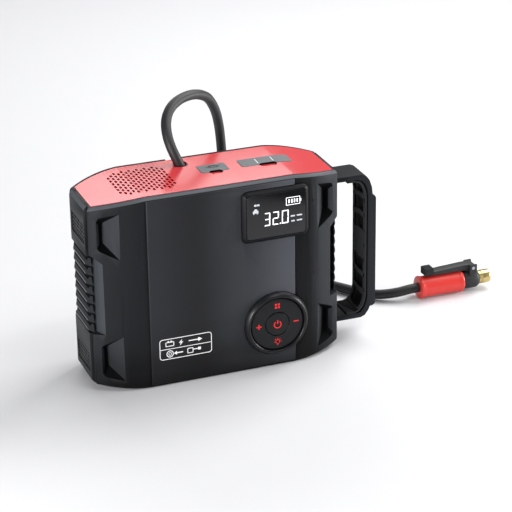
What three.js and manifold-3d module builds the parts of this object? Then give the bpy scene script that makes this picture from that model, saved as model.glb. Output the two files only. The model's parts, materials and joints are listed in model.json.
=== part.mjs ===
// Jump starter pack with a built-in air compressor. A flat box tapers towards both ends. It has a
// red top with flaps over its sockets, a raised display, a round keypad, louvred ends, a fixed
// carrying handle and an air hose with a tyre chuck.
// Millimetres. +Z is up, +X points to the handle, -Y to the display. The origin is on the underside,
// in the middle of the housing.
import * as THREE from 'three';
import { mergeVertices } from 'three/addons/utils/BufferGeometryUtils.js';
import { ConvexGeometry } from 'three/addons/geometries/ConvexGeometry.js';
import Module from 'manifold-3d';

const wasm = await Module();
wasm.setup();

// ---- Driving dimensions --------------------------------------------------------------------

// Housing
const bodyLength = 210;
const bodyHeight = 162;
const bodyDepth = 76;
const endDepth = 46;
const straightLength = 123; // the middle, before the faces curve in towards the ends
const topDrop = 7.5; // how far the top falls towards each end
const bottomRise = 5.6;
const slopeBulge = 0.9; // how far the sloping top and bottom stand out of a straight line
const rimChamfer = 2.1;
const rimWidth = 3.85; // black rim beside the top and bottom panels
const endRimWidth = 4.8; // the same rim at the ends
const wall = 2.5;
const endWall = 4;
const panelThickness = 3;
const shelfThickness = 2; // ledge that carries the top and bottom panels
const shelfWidth = 4.2;
const fit = 0.3; // clearance between pieces that seat on each other
const slopeSteps = 3;
const roundSides = 20; // faces round the keypad's pieces

// Front fascia
const fasciaProud = 0.8;
const fasciaThickness = 1.9;
const fasciaMargin = 2.6; // from the fascia's edge to the top and the underside

// Corner guards and the waist between them
const partingY = 13.6; // where the shells end behind the end panels
const waistLow = 49.2;
const waistDrop = 52.7; // from the top to the waist's upper corner on the front face
const waistInset = 10.3; // from the end to the waist's cut on the front face
const waistInsetBack = 3.3; // the same at partingY
const waistSlope = 0.8; // rise over run of the upper guard's lower edge
const pocketDepth = 9.2;
const pocketSkin = 1.8;
const pocketLift = 2; // the lower pocket mirrors the upper one and sits this much lower
// Corners of a pocket's mouth and of its deep end, from the housing's end and from its top
const pocketMouth = [[23.4, 11.2], [11.5, 13.8], [8.6, 14.9], [7, 18], [7, 39.8], [8.5, 42.1], [23, 49.5]];
const pocketFloor = [[13.6, 21.4], [12.4, 24.4], [12.4, 35.6], [13.4, 38]];
const pocketMiddle = [15, 30];

// End panels
const endPanelHalf = 19.5;
const grooveWidth = 3.6;
const grooveDepth = 3;
const finCount = 8;
const finGap = 1.25;
const finReach = 21.5;
const finLip = 1.3;
const finTaper = 2.2; // how far each fin's top edge lies behind its lip
const louvreBarWidth = 3.3;
const meshPitch = 7.4;
const meshHole = 5.9;
const meshThickness = 1.4;
const meshHalf = 16.6;
const meshInset = 0.3; // behind the end face
const leftMeshRise = [16.5, 32]; // limits of the lower mesh, from the underside
const leftMeshDrop = [37.5, 21.5]; // limits of the upper mesh, from the top
const rightMeshRise = [24.5, 39];
const rightMeshDrop = [40.5, 26];

// Top panel: intake holes, flaps and the hose notch
const holePitchX = 4.3;
const holePitchY = 7.4;
const holeWidth = 1.5;
const holeLength = 3;
const holeColumns = 11;
const holeRows = 6;
const holesLeft = -73.8;
const holesFront = -22.5;
const flapThickness = 1.8;
const flapProud = 0.4;
const flapFront = -5.1;
const flapDepth = 15.5;
const flapCorner = 1.6;
const flapFit = 0.35;
const jumpFlapLeft = -3.5;
const jumpFlapWidth = 22.9;
const usbFlapLeft = 30.5;
const usbFlapWidth = 42;
const portMargin = 2.6; // rebate round each port opening
const fingerDepth = 1.9;
const hoseWellLeft = -20.5;
const hoseWellWidth = 13.5;
const hoseWellFront = 14.5;
const hoseWellDepth = 15;
const hoseWellWall = 1.5;
const hoseWellUndercut = 5.2;

// Display
const displayX = 44.4;
const displayDrop = 28.8; // from the top to the middle of the display
const displayWidth = 56;
const displayHeight = 43;
const displayCorner = 5;
const displayProud = 3.2;
const displayBevel = 2.6;
const glassThickness = 1.2;
const glassRim = 0.7;
const flangeWidth = 2;
const flangeThickness = 1.8;

// Keypad
const keypadX = 44.5;
const keypadZ = 38.5;
const keypadRadius = 27.2;
const keypadRidge = 24.9;
const keypadProud = 4.4;
const discRadius = 22.2;
const discProud = 3;
const discThickness = 2.6;
const discClearance = 0.7;
const okRadius = 9.9;
const okProud = 3.4;
const okThickness = 4.2;
const keyClearance = 0.6;
const pivotRingWidth = 2.4;
const pivotRingThickness = 1.2;
const keyGap = 0.8; // free travel under the disc

// Handle
const handleReach = 37.6; // from the housing's end to the grip's outer face
const gripThickness = 7.5;
const armThickness = 4.3;
const armDrop = 18.5; // from the top to the upper arm's upper face
const armRise = 16.5; // underside of the lower arm
const handleWidth = 26;
const cornerReach = 10.2;
const cornerHeight = 20;
const armInside = 7; // how far each arm runs into the end panel
const gripStep = 2.9; // how far the grip stands out of the strap
const gripRise = 9; // from the underside of the lower arm to the grip
const gripDrop = 19.2; // from the upper arm's upper face to the grip
const gripCorner = 3.4;
const padThickness = 1.5;
const padGap = 0.8;
const padStart = 12; // from the housing's end to the pad
const padOpeningHalf = 8.6;
const padOval = 24; // solid middle of the pad
const padBar = 4.6; // between two openings
const padEnd = 8.5; // from the last opening to the arm's outer face
const padRailHole = 3.4;
const padRailPitch = 13.3;

// Rear lamp
const lampWidth = 58;
const lampHeight = 18;
const lampDrop = 35;
const lensThickness = 2;
const lensProud = 0.5;

// Case screws
const screwInset = 14.5; // from the top and the underside
const screwFromEnd = 27.5;
const screwRadius = 1.5;
const screwLength = 14;
const screwHeadRadius = 3;
const screwHeadHeight = 2;
const screwWell = 6;

// Battery and boards
const cellLength = 72;
const cellHeight = 58;
const cellThickness = 11.5;
const cellCount = 4;
const cellGap = 0.4;
const cellLeft = -4;
const trayWall = 1.5;
const trayHeight = 22;
const trayFloor = 7;
const boardThickness = 1.6;
const mainBoardLeft = 5;
const mainBoardWidth = 74;
const mainBoardLow = 72;
const mainBoardHeight = 70;
const mainBoardInset = 12; // from the front face to the board
const postRadius = 2;

// Compressor
const gearModule = 1.6;
const pinionTeeth = 9;
const gearTeeth = 27;
const toothThinning = 0.28; // backlash on each tooth
const gearWidth = 6;
const pinionWidth = 8;
const motorRadius = 17;
const motorLength = 46;
const motorLeft = -90;
const motorZ = 42;
const shaftRadius = 1.6;
const crankShaftRadius = 2.5;
const gearPlateThickness = 2;
const pumpWidth = 30;
const pumpLength = 20;
const cylinderRadius = 11;
const cylinderHeight = 28;
const fanRadius = 15;
const fanBlades = 5;
const baseThickness = 2;
const baseWidth = 36;
const saddleWidth = 30;
const saddleDepth = 4;
const saddleReach = 8; // from the motor's axis down to the saddles' top
const legThickness = 4;
const standWall = 3;
const crankcaseHalf = 16;
const gearPlateWidth = 34;
const gearPlateTop = 9; // above the crankshaft's axis
const shaftEngagement = 8; // how far the crankshaft runs into the pump
const bearingGap = 0.05;
const fanHub = 4.5;
const fanThickness = 5.2;
const fanStandoff = 1.2;
const cylinderRibGap = 7;
const cylinderRib = 2.4;
const headThickness = 6;
const nippleRadius = 2.2;
const nippleLength = 5;

// Hose and chuck
const hoseDiameter = 8.5;
const hoseSides = 8;
const glandRadius = 6.2;
const glandLength = 7;
const hoseLean = 22; // degrees from upright, towards the left end
const hoseExit = [-11.3, 20.5, 156.4];
const chuckStart = [205, 36, 10]; // rear end of the chuck, on its axis
const chuckRadius = 10;
const chuckLength = 41;
const chuckHeadRadius = 8.2;
const chuckHeadLength = 15;
const nozzleRadius = 6;
const nozzleBore = 4.2;
const nozzleLength = 11;
const leverWidth = 9;
const leverThickness = 3;
const leverLength = 44;
const leverPinRadius = 1.5;
const earThickness = 2;

// ---- Finishes ------------------------------------------------------------------------------

const finish = (color, roughness, metalness = 0) =>
  new THREE.MeshStandardMaterial({ color, roughness, metalness });

const finishes = {
  shell: finish(0x242629, 0.55),
  fascia: finish(0x2c2e32, 0.42),
  red: finish(0xd8484c, 0.45),
  rubber: finish(0x63686a, 0.8),
  gloss: finish(0x17181a, 0.22),
  glass: finish(0x0b0c0e, 0.06),
  key: finish(0x1c1d20, 0.4),
  black: finish(0x141516, 0.6),
  grip: finish(0x2b2d30, 0.7),
  hose: finish(0x1a1a1b, 0.62),
  board: finish(0x1e5a38, 0.5),
  cell: finish(0x4c6f9a, 0.5),
  steel: finish(0xa8abae, 0.35, 1),
  brass: finish(0xb99a55, 0.35, 1),
  alloy: finish(0x9a9da1, 0.45, 1),
  nylon: finish(0xe3ddcb, 0.5),
  lens: finish(0xe8ecef, 0.15),
  white: finish(0xe9e9e6, 0.5),
  chuckRed: finish(0xc8342c, 0.4),
};

// ---- Solids --------------------------------------------------------------------------------

// Reads a closed geometry into a solid with its faces pointing out.
function solidOf(geometry) {
  const bare = geometry.clone();
  for (const name of Object.keys(bare.attributes)) {
    if (name !== 'position') bare.deleteAttribute(name);
  }
  const merged = mergeVertices(bare, 1e-4);
  const vertProperties = new Float32Array(merged.attributes.position.array);
  const triangles = [];
  const index = merged.index.array;
  let volume = 0;
  const corner = (i) => new THREE.Vector3().fromArray(vertProperties, 3 * i);
  for (let i = 0; i < index.length; i += 3) {
    const [a, b, c] = [index[i], index[i + 1], index[i + 2]];
    if (a === b || b === c || c === a) continue;
    triangles.push(a, b, c);
    volume += corner(a).dot(corner(b).cross(corner(c)));
  }
  if (volume < 0) triangles.reverse();
  return new wasm.Manifold(
    new wasm.Mesh({ numProp: 3, vertProperties, triVerts: Uint32Array.from(triangles) }));
}

function geometryOf(solid) {
  const { vertProperties, triVerts } = solid.getMesh();
  const geometry = new THREE.BufferGeometry();
  geometry.setAttribute('position', new THREE.BufferAttribute(vertProperties.slice(), 3));
  geometry.setIndex(Array.from(triVerts));
  geometry.computeVertexNormals();
  return geometry;
}

const reflectX = (solid) => solidOf(geometryOf(solid).scale(-1, 1, 1));
const reflectY = (solid) => solidOf(geometryOf(solid).scale(1, -1, 1));
const join = (...solids) => solids.flat().reduce((sum, part) => sum.add(part));
const cut = (solid, ...tools) => tools.flat().reduce((rest, tool) => rest.subtract(tool), solid);

// A box between two corners.
function block([x0, y0, z0], [x1, y1, z1]) {
  const box = new THREE.BoxGeometry(x1 - x0, y1 - y0, z1 - z0);
  return solidOf(box.translate((x0 + x1) / 2, (y0 + y1) / 2, (z0 + z1) / 2));
}

const shapeOf = (points) => new THREE.Shape(points.map(([a, b]) => new THREE.Vector2(a, b)));

// Extrusions of a flat shape along each axis. The shape's own axes are the two others in X, Y, Z
// order, but Y then Z along X.
function extrudeZ(shape, z0, z1, curveSegments = 2) {
  const options = { depth: z1 - z0, bevelEnabled: false, curveSegments };
  return solidOf(new THREE.ExtrudeGeometry(shape, options).translate(0, 0, z0));
}

function extrudeY(shape, y0, y1, curveSegments = 2) {
  const options = { depth: y1 - y0, bevelEnabled: false, curveSegments };
  const geometry = new THREE.ExtrudeGeometry(shape, options).rotateX(Math.PI / 2);
  return solidOf(geometry.translate(0, y1, 0));
}

const turnToX = new THREE.Matrix4().set(0, 0, 1, 0, 1, 0, 0, 0, 0, 1, 0, 0, 0, 0, 0, 1);

function extrudeX(shape, x0, x1, curveSegments = 2) {
  const options = { depth: x1 - x0, bevelEnabled: false, curveSegments };
  const geometry = new THREE.ExtrudeGeometry(shape, options).applyMatrix4(turnToX);
  return solidOf(geometry.translate(x0, 0, 0));
}

// A revolved profile of [radius, height] points, along an axis through a centre.
function revolve(profile, sides, axis, [x, y, z]) {
  const points = profile.map(([radius, height]) => new THREE.Vector2(radius, height));
  if (profile[0][0] > 0) points.push(points[0].clone());
  const geometry = new THREE.LatheGeometry(points, sides);
  if (axis === 'z') geometry.rotateX(Math.PI / 2);
  if (axis === 'x') geometry.rotateZ(-Math.PI / 2);
  return solidOf(geometry.translate(x, y, z));
}

const rod = (radius, from, to, sides, axis, centre) =>
  revolve([[0, from], [radius, from], [radius, to], [0, to]], sides, axis, centre);

const tube = (inner, outer, from, to, sides, axis, centre) =>
  revolve([[inner, from], [outer, from], [outer, to], [inner, to]], sides, axis, centre);

// A rectangle with round corners.
function roundRect(x, y, width, height, radius) {
  const [x1, y1] = [x + width, y + height];
  const shape = new THREE.Shape();
  shape.moveTo(x + radius, y);
  shape.lineTo(x1 - radius, y);
  shape.absarc(x1 - radius, y + radius, radius, -Math.PI / 2, 0);
  shape.lineTo(x1, y1 - radius);
  shape.absarc(x1 - radius, y1 - radius, radius, 0, Math.PI / 2);
  shape.lineTo(x + radius, y1);
  shape.absarc(x + radius, y1 - radius, radius, Math.PI / 2, Math.PI);
  shape.lineTo(x, y + radius);
  shape.absarc(x + radius, y + radius, radius, Math.PI, 1.5 * Math.PI);
  return shape;
}

// Skin through rings of equal point counts, with flat convex end caps.
function loft(rings) {
  const count = rings[0].length;
  const position = rings.flat().flatMap((point) => [point.x, point.y, point.z]);
  const index = [];
  for (let ring = 0; ring + 1 < rings.length; ring += 1) {
    for (let i = 0; i < count; i += 1) {
      const [a, b] = [ring * count + i, ring * count + ((i + 1) % count)];
      index.push(a, b, a + count, b, b + count, a + count);
    }
  }
  const last = (rings.length - 1) * count;
  for (let i = 1; i + 1 < count; i += 1) {
    index.push(0, i + 1, i, last, last + i, last + i + 1);
  }
  const geometry = new THREE.BufferGeometry();
  geometry.setAttribute('position', new THREE.Float32BufferAttribute(position, 3));
  geometry.setIndex(index);
  return solidOf(geometry);
}

// ---- Housing outline -----------------------------------------------------------------------

const bodyEnd = bodyLength / 2;
const creaseX = straightLength / 2;
const far = bodyLength; // beyond every housing face

// Places along X where the curved outline has a vertex.
const knots = [];
for (let i = 0; i <= slopeSteps; i += 1) {
  knots.push(creaseX + ((bodyEnd - creaseX) * i) / slopeSteps);
}

// A curve between the knots as straight facets, so that every surface made from it agrees.
const faceted = (curve) => (x) => {
  const [first, width] = [knots[0], knots[1] - knots[0]];
  const place = Math.max(0, (Math.abs(x) - first) / width);
  const knot = Math.min(Math.floor(place), slopeSteps - 1);
  const [from, to] = [curve(knot / slopeSteps), curve((knot + 1) / slopeSteps)];
  return from + (to - from) * (place - knot);
};

const bulge = (t) => 4 * slopeBulge * t * (1 - t);
const halfDepthAt = faceted((t) => bodyDepth / 2 - ((bodyDepth - endDepth) / 2) * t ** 2);
const topAt = faceted((t) => bodyHeight - topDrop * t + bulge(t));
const bottomAt = faceted((t) => bottomRise * t - bulge(t));

// The knots on both sides, cut off or carried on at a reach from the middle.
function stations(reach) {
  const right = [...knots.filter((x) => x < reach - 0.2), reach];
  return [...right.map((x) => -x).reverse(), ...right];
}

// The housing's outer form, drawn in by a margin on each face.
function housingForm({ side = 0, top = 0, bottom = top, end = 0, chamfer = 0 }) {
  const reach = bodyEnd - end;
  const ringAt = (x, draw) => {
    const y = halfDepthAt(x) - side - draw;
    const high = topAt(x) - top - draw;
    const low = bottomAt(x) + bottom + draw;
    const square = [[-y, low], [y, low], [y, high], [-y, high]];
    const eight = [
      [-y + chamfer, low], [y - chamfer, low], [y, low + chamfer], [y, high - chamfer],
      [y - chamfer, high], [-y + chamfer, high], [-y, high - chamfer], [-y, low + chamfer],
    ];
    return (chamfer > 0 ? eight : square).map(([b, c]) => new THREE.Vector3(x, b, c));
  };
  const rings = stations(reach - chamfer).map((x) => ringAt(x, 0));
  if (chamfer > 0) {
    rings.unshift(ringAt(-reach, chamfer));
    rings.push(ringAt(reach, chamfer));
  }
  return loft(rings);
}

// The plan outline inside the rim, drawn in by a margin, as a flat shape.
function planShape(margin) {
  const reach = bodyEnd - endRimWidth - margin;
  const edge = stations(reach).map((x) => [x, halfDepthAt(x) - rimWidth - margin]);
  return shapeOf([...edge.map(([x, y]) => [x, -y]), ...edge.reverse()]);
}

const overTop = bodyHeight + 20;
const outerForm = housingForm({ chamfer: rimChamfer });
const seatDepth = panelThickness + fit; // top and bottom panels seat this deep
const underShelf = seatDepth + shelfThickness;

// Where a top or bottom panel drops in between the rims.
function panelRecess() {
  const well = extrudeZ(planShape(0), -20, overTop);
  return cut(well, housingForm({ side: -far, end: -far / 2, top: seatDepth }));
}

// ---- Shells --------------------------------------------------------------------------------

// Space that the waist takes from the right-hand front corner. A margin moves it inwards.
function waistNotch(margin) {
  const back = [bodyEnd - waistInsetBack, -partingY];
  const front = [bodyEnd - waistInset, -halfDepthAt(bodyEnd - waistInset)];
  const run = new THREE.Vector2(front[0] - back[0], front[1] - back[1]).normalize();
  const inward = [run.y * margin, -run.x * margin];
  const start = [back[0] + inward[0] - run.x * 2, back[1] + inward[1] - run.y * 2];
  const stop = [start[0] + run.x * 40, start[1] + run.y * 40];
  const plan = shapeOf([start, stop, [bodyEnd + 30, stop[1]], [bodyEnd + 30, start[1]]]);
  const high = bodyHeight - waistDrop;
  const slopeTop = (x) => high + (x - (bodyEnd - waistInset)) * waistSlope + margin * 1.2;
  const inner = bodyEnd - waistInset - 10;
  const outline = shapeOf([
    [inner, waistLow - margin], [bodyEnd + 30, waistLow - margin],
    [bodyEnd + 30, slopeTop(bodyEnd + 30)], [inner, slopeTop(inner)],
  ]);
  return extrudeZ(plan, 0, bodyHeight).intersect(extrudeY(outline, -far, 0));
}

// A guard pocket in the right-hand front corner: flush at its inner edge, deepest at the outer one.
function pocket(upper, grow) {
  const points = [];
  const add = ([fromEnd, drop], depth, spread) => {
    const stretch = 1 + spread / 12;
    const [midX, midZ] = pocketMiddle;
    const x = bodyEnd - (midX + (fromEnd - midX) * stretch);
    const rise = bodyHeight - (midZ + (drop - midZ) * stretch);
    const z = upper ? rise : bodyHeight - pocketLift - rise;
    points.push(new THREE.Vector3(x, -halfDepthAt(x) + depth, z));
  };
  for (const corner of pocketMouth) {
    add(corner, -4, grow);
    add(corner, grow, grow);
  }
  for (const corner of pocketFloor) add(corner, pocketDepth + grow, grow);
  return solidOf(new ConvexGeometry(points));
}

const quarterPockets = (grow) => [pocket(true, grow), pocket(false, grow)];
const bothEnds = (solids) => [...solids, ...solids.map(reflectX)];

// One moulded half of the housing, before the openings of its own: walls, ledges and guards.
function shellHalf() {
  const notches = bothEnds([waistNotch(0)]);
  const grownNotches = bothEnds([waistNotch(wall)]);
  const outer = cut(outerForm, notches);
  const cavity = cut(housingForm({ side: wall, top: underShelf, end: endWall }), grownNotches);
  const window = extrudeZ(planShape(shelfWidth), -20, overTop);
  const keep = block([-far, -far, -20], [far, -partingY, overTop]);
  const groove = block([bodyEnd - grooveDepth, -endPanelHalf - grooveWidth, -20],
    [far, 0, overTop]);
  const walls = cut(outer, cavity, window).intersect(keep);
  const tubs = bothEnds(quarterPockets(pocketSkin)).map((tub) => tub.intersect(outer));
  return cut(join(walls, tubs), bothEnds(quarterPockets(0)), bothEnds([groove]), panelRecess());
}

const shellBase = shellHalf();
const screwPlaces = [];
for (const x of [-1, 1]) {
  for (const z of [screwInset, bodyHeight - screwInset]) {
    screwPlaces.push([x * (bodyEnd - screwFromEnd), z]);
  }
}
const screwHeadBase = bodyDepth / 2 - screwWell + fit;
const bossMeet = screwHeadBase - fit - 6; // where the front and rear bosses meet
const fasciaLow = fasciaMargin;
const fasciaHigh = bodyHeight - fasciaMargin;
const frontY = -bodyDepth / 2;
const faceY = frontY - fasciaProud;
const displayZ = bodyHeight - displayDrop;

// The display's outline as a flat ring, grown by a margin.
const displayShape = (grow) => roundRect(
  displayX - displayWidth / 2 - grow, displayZ - displayHeight / 2 - grow,
  displayWidth + 2 * grow, displayHeight + 2 * grow, Math.max(displayCorner + grow, 0.5));

const displayOpening = extrudeY(displayShape(fit), -far, 0);
const keypadOpening = rod(keypadRadius + fit, -far, -20, roundSides, 'y', [keypadX, 0, keypadZ]);

function frontShell() {
  const recess = block(
    [-creaseX, -far, fasciaLow - fit], [creaseX, faceY + fasciaThickness + fit, fasciaHigh + fit]);
  const boardY = frontY + mainBoardInset;
  const posts = [];
  for (const x of [mainBoardLeft + 4, mainBoardLeft + mainBoardWidth - 2.6]) {
    for (const z of [mainBoardLow + 4, mainBoardLow + mainBoardHeight - 4]) {
      posts.push(rod(postRadius, frontY + wall - 0.5, boardY - fit, 8, 'y', [x, 0, z]));
    }
  }
  const bosses = screwPlaces.map(([x, z]) =>
    rod(screwHeadRadius, wall - 1.1 - halfDepthAt(x), bossMeet - fit, 8, 'y', [x, 0, z]));
  const pilots = screwPlaces.map(([x, z]) =>
    rod(screwRadius + fit, screwHeadBase - screwLength - 1, far, 8, 'y', [x, 0, z]));
  return cut(join(shellBase, posts, bosses), recess, displayOpening, keypadOpening, pilots);
}

function frontFascia() {
  const inset = 0.8;
  const ringAt = (y, draw) => [
    [-creaseX + fit + draw, fasciaLow + draw], [creaseX - fit - draw, fasciaLow + draw],
    [creaseX - fit - draw, fasciaHigh - draw], [-creaseX + fit + draw, fasciaHigh - draw],
  ].map(([x, z]) => new THREE.Vector3(x, y, z));
  const plate = loft([
    ringAt(faceY, inset), ringAt(faceY + inset, 0), ringAt(faceY + fasciaThickness, 0)]);
  return cut(plate, displayOpening, keypadOpening);
}

const lampZ = bodyHeight - lampDrop;

const lampShape = (grow) => roundRect(
  -lampWidth / 2 - grow, lampZ - lampHeight / 2 - grow,
  lampWidth + 2 * grow, lampHeight + 2 * grow, 3 + grow);

function rearShell() {
  const rear = reflectY(shellBase);
  const bosses = screwPlaces.map(([x, z]) =>
    rod(screwHeadRadius + 1.6, bossMeet, bodyDepth / 2 - wall - 1, 8, 'y', [x, 0, z]));
  const wells = screwPlaces.map(([x, z]) =>
    rod(screwHeadRadius + fit, bodyDepth / 2 - screwWell, far, 8, 'y', [x, 0, z]));
  const shanks = screwPlaces.map(([x, z]) =>
    rod(screwRadius + fit, 0, bodyDepth / 2, 8, 'y', [x, 0, z]));
  const lamp = extrudeY(lampShape(fit), 0, far);
  const notch = block([hoseWellLeft, hoseWellFront, bodyHeight - hoseWellDepth + 2],
    [hoseWellLeft + hoseWellWidth, far, overTop]);
  return cut(join(rear, bosses), wells, shanks, lamp, notch);
}

// Round-headed screw with a cross slot, standing in its well in the rear shell.
function caseScrew([x, z]) {
  const top = screwHeadBase + screwHeadHeight;
  const tip = screwHeadBase - screwLength;
  const profile = [
    [0, tip], [screwRadius, tip], [screwRadius, screwHeadBase], [screwHeadRadius, screwHeadBase],
    [screwHeadRadius - 0.7, top], [0, top]];
  const screw = revolve(profile, 8, 'y', [x, 0, z]);
  const slot = (w, h) => block([x - w, top - 1, z - h], [x + w, top + 1, z + h]);
  return cut(screw, slot(1.7, 0.35), slot(0.35, 1.7));
}

// ---- Top and bottom panels -----------------------------------------------------------------

// A skin between two depths under the housing's top or bottom surface, within a plan shape.
function topSkin(plan, from, to) {
  const prism = extrudeZ(plan, bodyHeight / 2, overTop);
  const below = housingForm({ side: -far, end: -far / 2, top: to, bottom: 0 });
  const within = housingForm({ side: -far, end: -far / 2, top: from, bottom: 0 });
  return cut(prism.intersect(within), below);
}

function bottomSkin(plan, from, to) {
  const prism = extrudeZ(plan, -20, bodyHeight / 2);
  const above = housingForm({ side: -far, end: -far / 2, top: 0, bottom: to });
  const within = housingForm({ side: -far, end: -far / 2, top: 0, bottom: from });
  return cut(prism.intersect(within), above);
}

const flapPlan = (left, width, grow) => roundRect(
  left - grow, flapFront - grow, width + 2 * grow, flapDepth + 2 * grow, flapCorner + grow);

const portPlan = (left, width, grow) => roundRect(
  left + portMargin - grow, flapFront + portMargin - grow,
  width - 2 * portMargin + 2 * grow, flapDepth - 2 * portMargin + 2 * grow, 1.2);

const hoseNotchPlan = (grow) => {
  const [left, right] = [hoseWellLeft - grow, hoseWellLeft + hoseWellWidth + grow];
  const front = hoseWellFront - grow;
  const shape = new THREE.Shape();
  shape.moveTo(left, bodyDepth);
  shape.lineTo(left, front + 4);
  shape.absarc(left + 4, front + 4, 4, Math.PI, 1.5 * Math.PI);
  shape.lineTo(right - 4, front);
  shape.absarc(right - 4, front + 4, 4, 1.5 * Math.PI, 2 * Math.PI);
  shape.lineTo(right, bodyDepth);
  return shape;
};

// Wedge in front of a flap, deepest at the flap's edge, for a fingertip.
function fingerWedge(from, to) {
  const [front, back] = [flapFront - 4.4, flapFront + 1];
  const points = [];
  for (const [x, y, depth] of [[from + 2, front, 0], [to - 2, front, 0],
    [from, back, fingerDepth], [to, back, fingerDepth]]) {
    const z = topAt(x);
    points.push(new THREE.Vector3(x, y, z - depth), new THREE.Vector3(x, y, z + 5));
  }
  return solidOf(new ConvexGeometry(points));
}

function intakeHoles() {
  const holes = [];
  for (let column = 0; column < holeColumns; column += 1) {
    const x = holesLeft + column * holePitchX;
    const shift = column % 2 ? holePitchY / 2 : 0;
    for (let row = 0; row < holeRows + (column % 2 ? 0 : 1); row += 1) {
      const y = holesFront + shift + row * holePitchY;
      const corner = (column < 2 || column > holeColumns - 2) && (row < 1 || row >= holeRows);
      if (corner) continue;
      holes.push(block([x - holeWidth / 2, y - holeLength / 2, topAt(x) - panelThickness - 4],
        [x + holeWidth / 2, y + holeLength / 2, overTop]));
    }
  }
  return holes;
}

function topPanel() {
  const plate = topSkin(planShape(fit), 0, panelThickness);
  const rebates = [[jumpFlapLeft, jumpFlapWidth], [usbFlapLeft, usbFlapWidth]].flatMap(
    ([left, width]) => [
      topSkin(flapPlan(left, width, flapFit), -5, flapThickness - flapProud + 0.1),
      extrudeZ(portPlan(left, width, 0), bodyHeight / 2, overTop),
    ]);
  const wedges = [
    fingerWedge(jumpFlapLeft + 5.5, jumpFlapLeft + jumpFlapWidth - 5.5),
    fingerWedge(usbFlapLeft + 13.4, usbFlapLeft + usbFlapWidth - 13),
  ];
  const notch = extrudeZ(hoseNotchPlan(0), bodyHeight / 2, overTop);
  return cut(plate, rebates, wedges, notch, intakeHoles());
}

const bottomPanel = () => bottomSkin(planShape(fit), 0, panelThickness);

// ---- End panels ----------------------------------------------------------------------------

// Grille of diamond holes in the right-hand end face, between two heights.
function meshGrille(low, high) {
  const x = bodyEnd - meshInset;
  const plate = block([x - meshThickness, -meshHalf - 0.2, low - 0.2],
    [x, meshHalf + 0.2, high + 0.2]);
  const holes = [];
  const half = meshHole / 2;
  const rows = Math.floor((high - low - meshHole) / (meshPitch / 2)) + 1;
  const start = (low + high) / 2 - ((rows - 1) * meshPitch) / 4;
  for (let row = 0; row < rows; row += 1) {
    const z = start + (row * meshPitch) / 2;
    const shift = row % 2 ? meshPitch / 2 : 0;
    for (let y = -meshHalf + half + shift; y <= meshHalf - half; y += meshPitch) {
      const diamond = shapeOf([[y - half, z], [y, z - half], [y + half, z], [y, z + half]]);
      holes.push(extrudeX(diamond, x - meshThickness - 1, x + 1));
    }
  }
  return cut(plate, holes);
}

const finLow = waistLow + fit + 0.1;
const finInset = 5.6; // from the end to the fins' inner edge at their tips
const finTop = bodyHeight - waistDrop + (waistInset - finInset) * waistSlope - fit;
const finPitch = (finTop - finLow + finGap) / finCount;
const finHeight = finPitch - finGap;

// Louvre fins with a clapboard profile, which run past the bars that carry them.
function louvreFins() {
  const inner = bodyEnd - 6;
  const tip = 3.5;
  const plan = shapeOf([
    [bodyEnd - grooveDepth + 0.3, -partingY], [bodyEnd - finInset, -finReach],
    [bodyEnd - tip, -finReach], [bodyEnd, -finReach + 5.5],
    [bodyEnd, finReach - 5.5], [bodyEnd - tip, finReach],
    [bodyEnd - finInset, finReach], [bodyEnd - grooveDepth + 0.3, partingY],
  ]);
  const envelope = extrudeZ(plan, 0, bodyHeight);
  const fins = [];
  for (let i = 0; i < finCount; i += 1) {
    const z = finLow + i * finPitch;
    const profile = shapeOf([
      [inner, z], [bodyEnd, z], [bodyEnd, z + finLip], [bodyEnd - finTaper, z + finHeight],
      [inner, z + finHeight]]);
    fins.push(extrudeY(profile, -finReach, finReach).intersect(envelope));
  }
  return fins;
}

function endPanel(bands, extraCuts) {
  const inX = bodyEnd - grooveDepth + fit;
  const plate = outerForm.intersect(
    block([inX, -endPanelHalf, -20], [far, endPanelHalf, overTop]));
  const half = partingY - fit;
  const cavity = housingForm({ side: wall, top: underShelf, end: endWall });
  const window = extrudeZ(planShape(shelfWidth), -20, overTop);
  const core = cut(outerForm, cavity, window).intersect(
    block([bodyEnd - endRimWidth - shelfWidth, -half, -20], [far, half, overTop]));
  const louvreTop = finTop + finGap;
  const louvreLow = finLow - finGap;
  const opening = [
    block([inX - 0.01, -far, louvreLow], [far, far, louvreTop]),
    block([0, -half + louvreBarWidth, louvreLow], [far, half - louvreBarWidth, louvreTop]),
  ];
  const windows = bands.map(([low, high]) =>
    block([0, -meshHalf, low], [far, meshHalf, high]));
  const bars = [-1, 1].map((side) => {
    const [a, b] = [side * half, side * (half - louvreBarWidth)];
    return block([bodyEnd - endWall, Math.min(a, b), louvreLow - 1],
      [inX + 0.4, Math.max(a, b), louvreTop + 1]);
  });
  const grilles = bands.map(([low, high]) => meshGrille(low, high));
  const solid = join(
    cut(join(plate, core), panelRecess(), opening, windows), bars, louvreFins(), grilles);
  return cut(solid, extraCuts);
}

// Heights of a lower and an upper mesh.
const meshBands = (rise, drop) => [rise, drop.map((down) => bodyHeight - down)];

// ---- Handle --------------------------------------------------------------------------------

const gripOuter = bodyEnd + handleReach;
const armTop = bodyHeight - armDrop;

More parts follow.
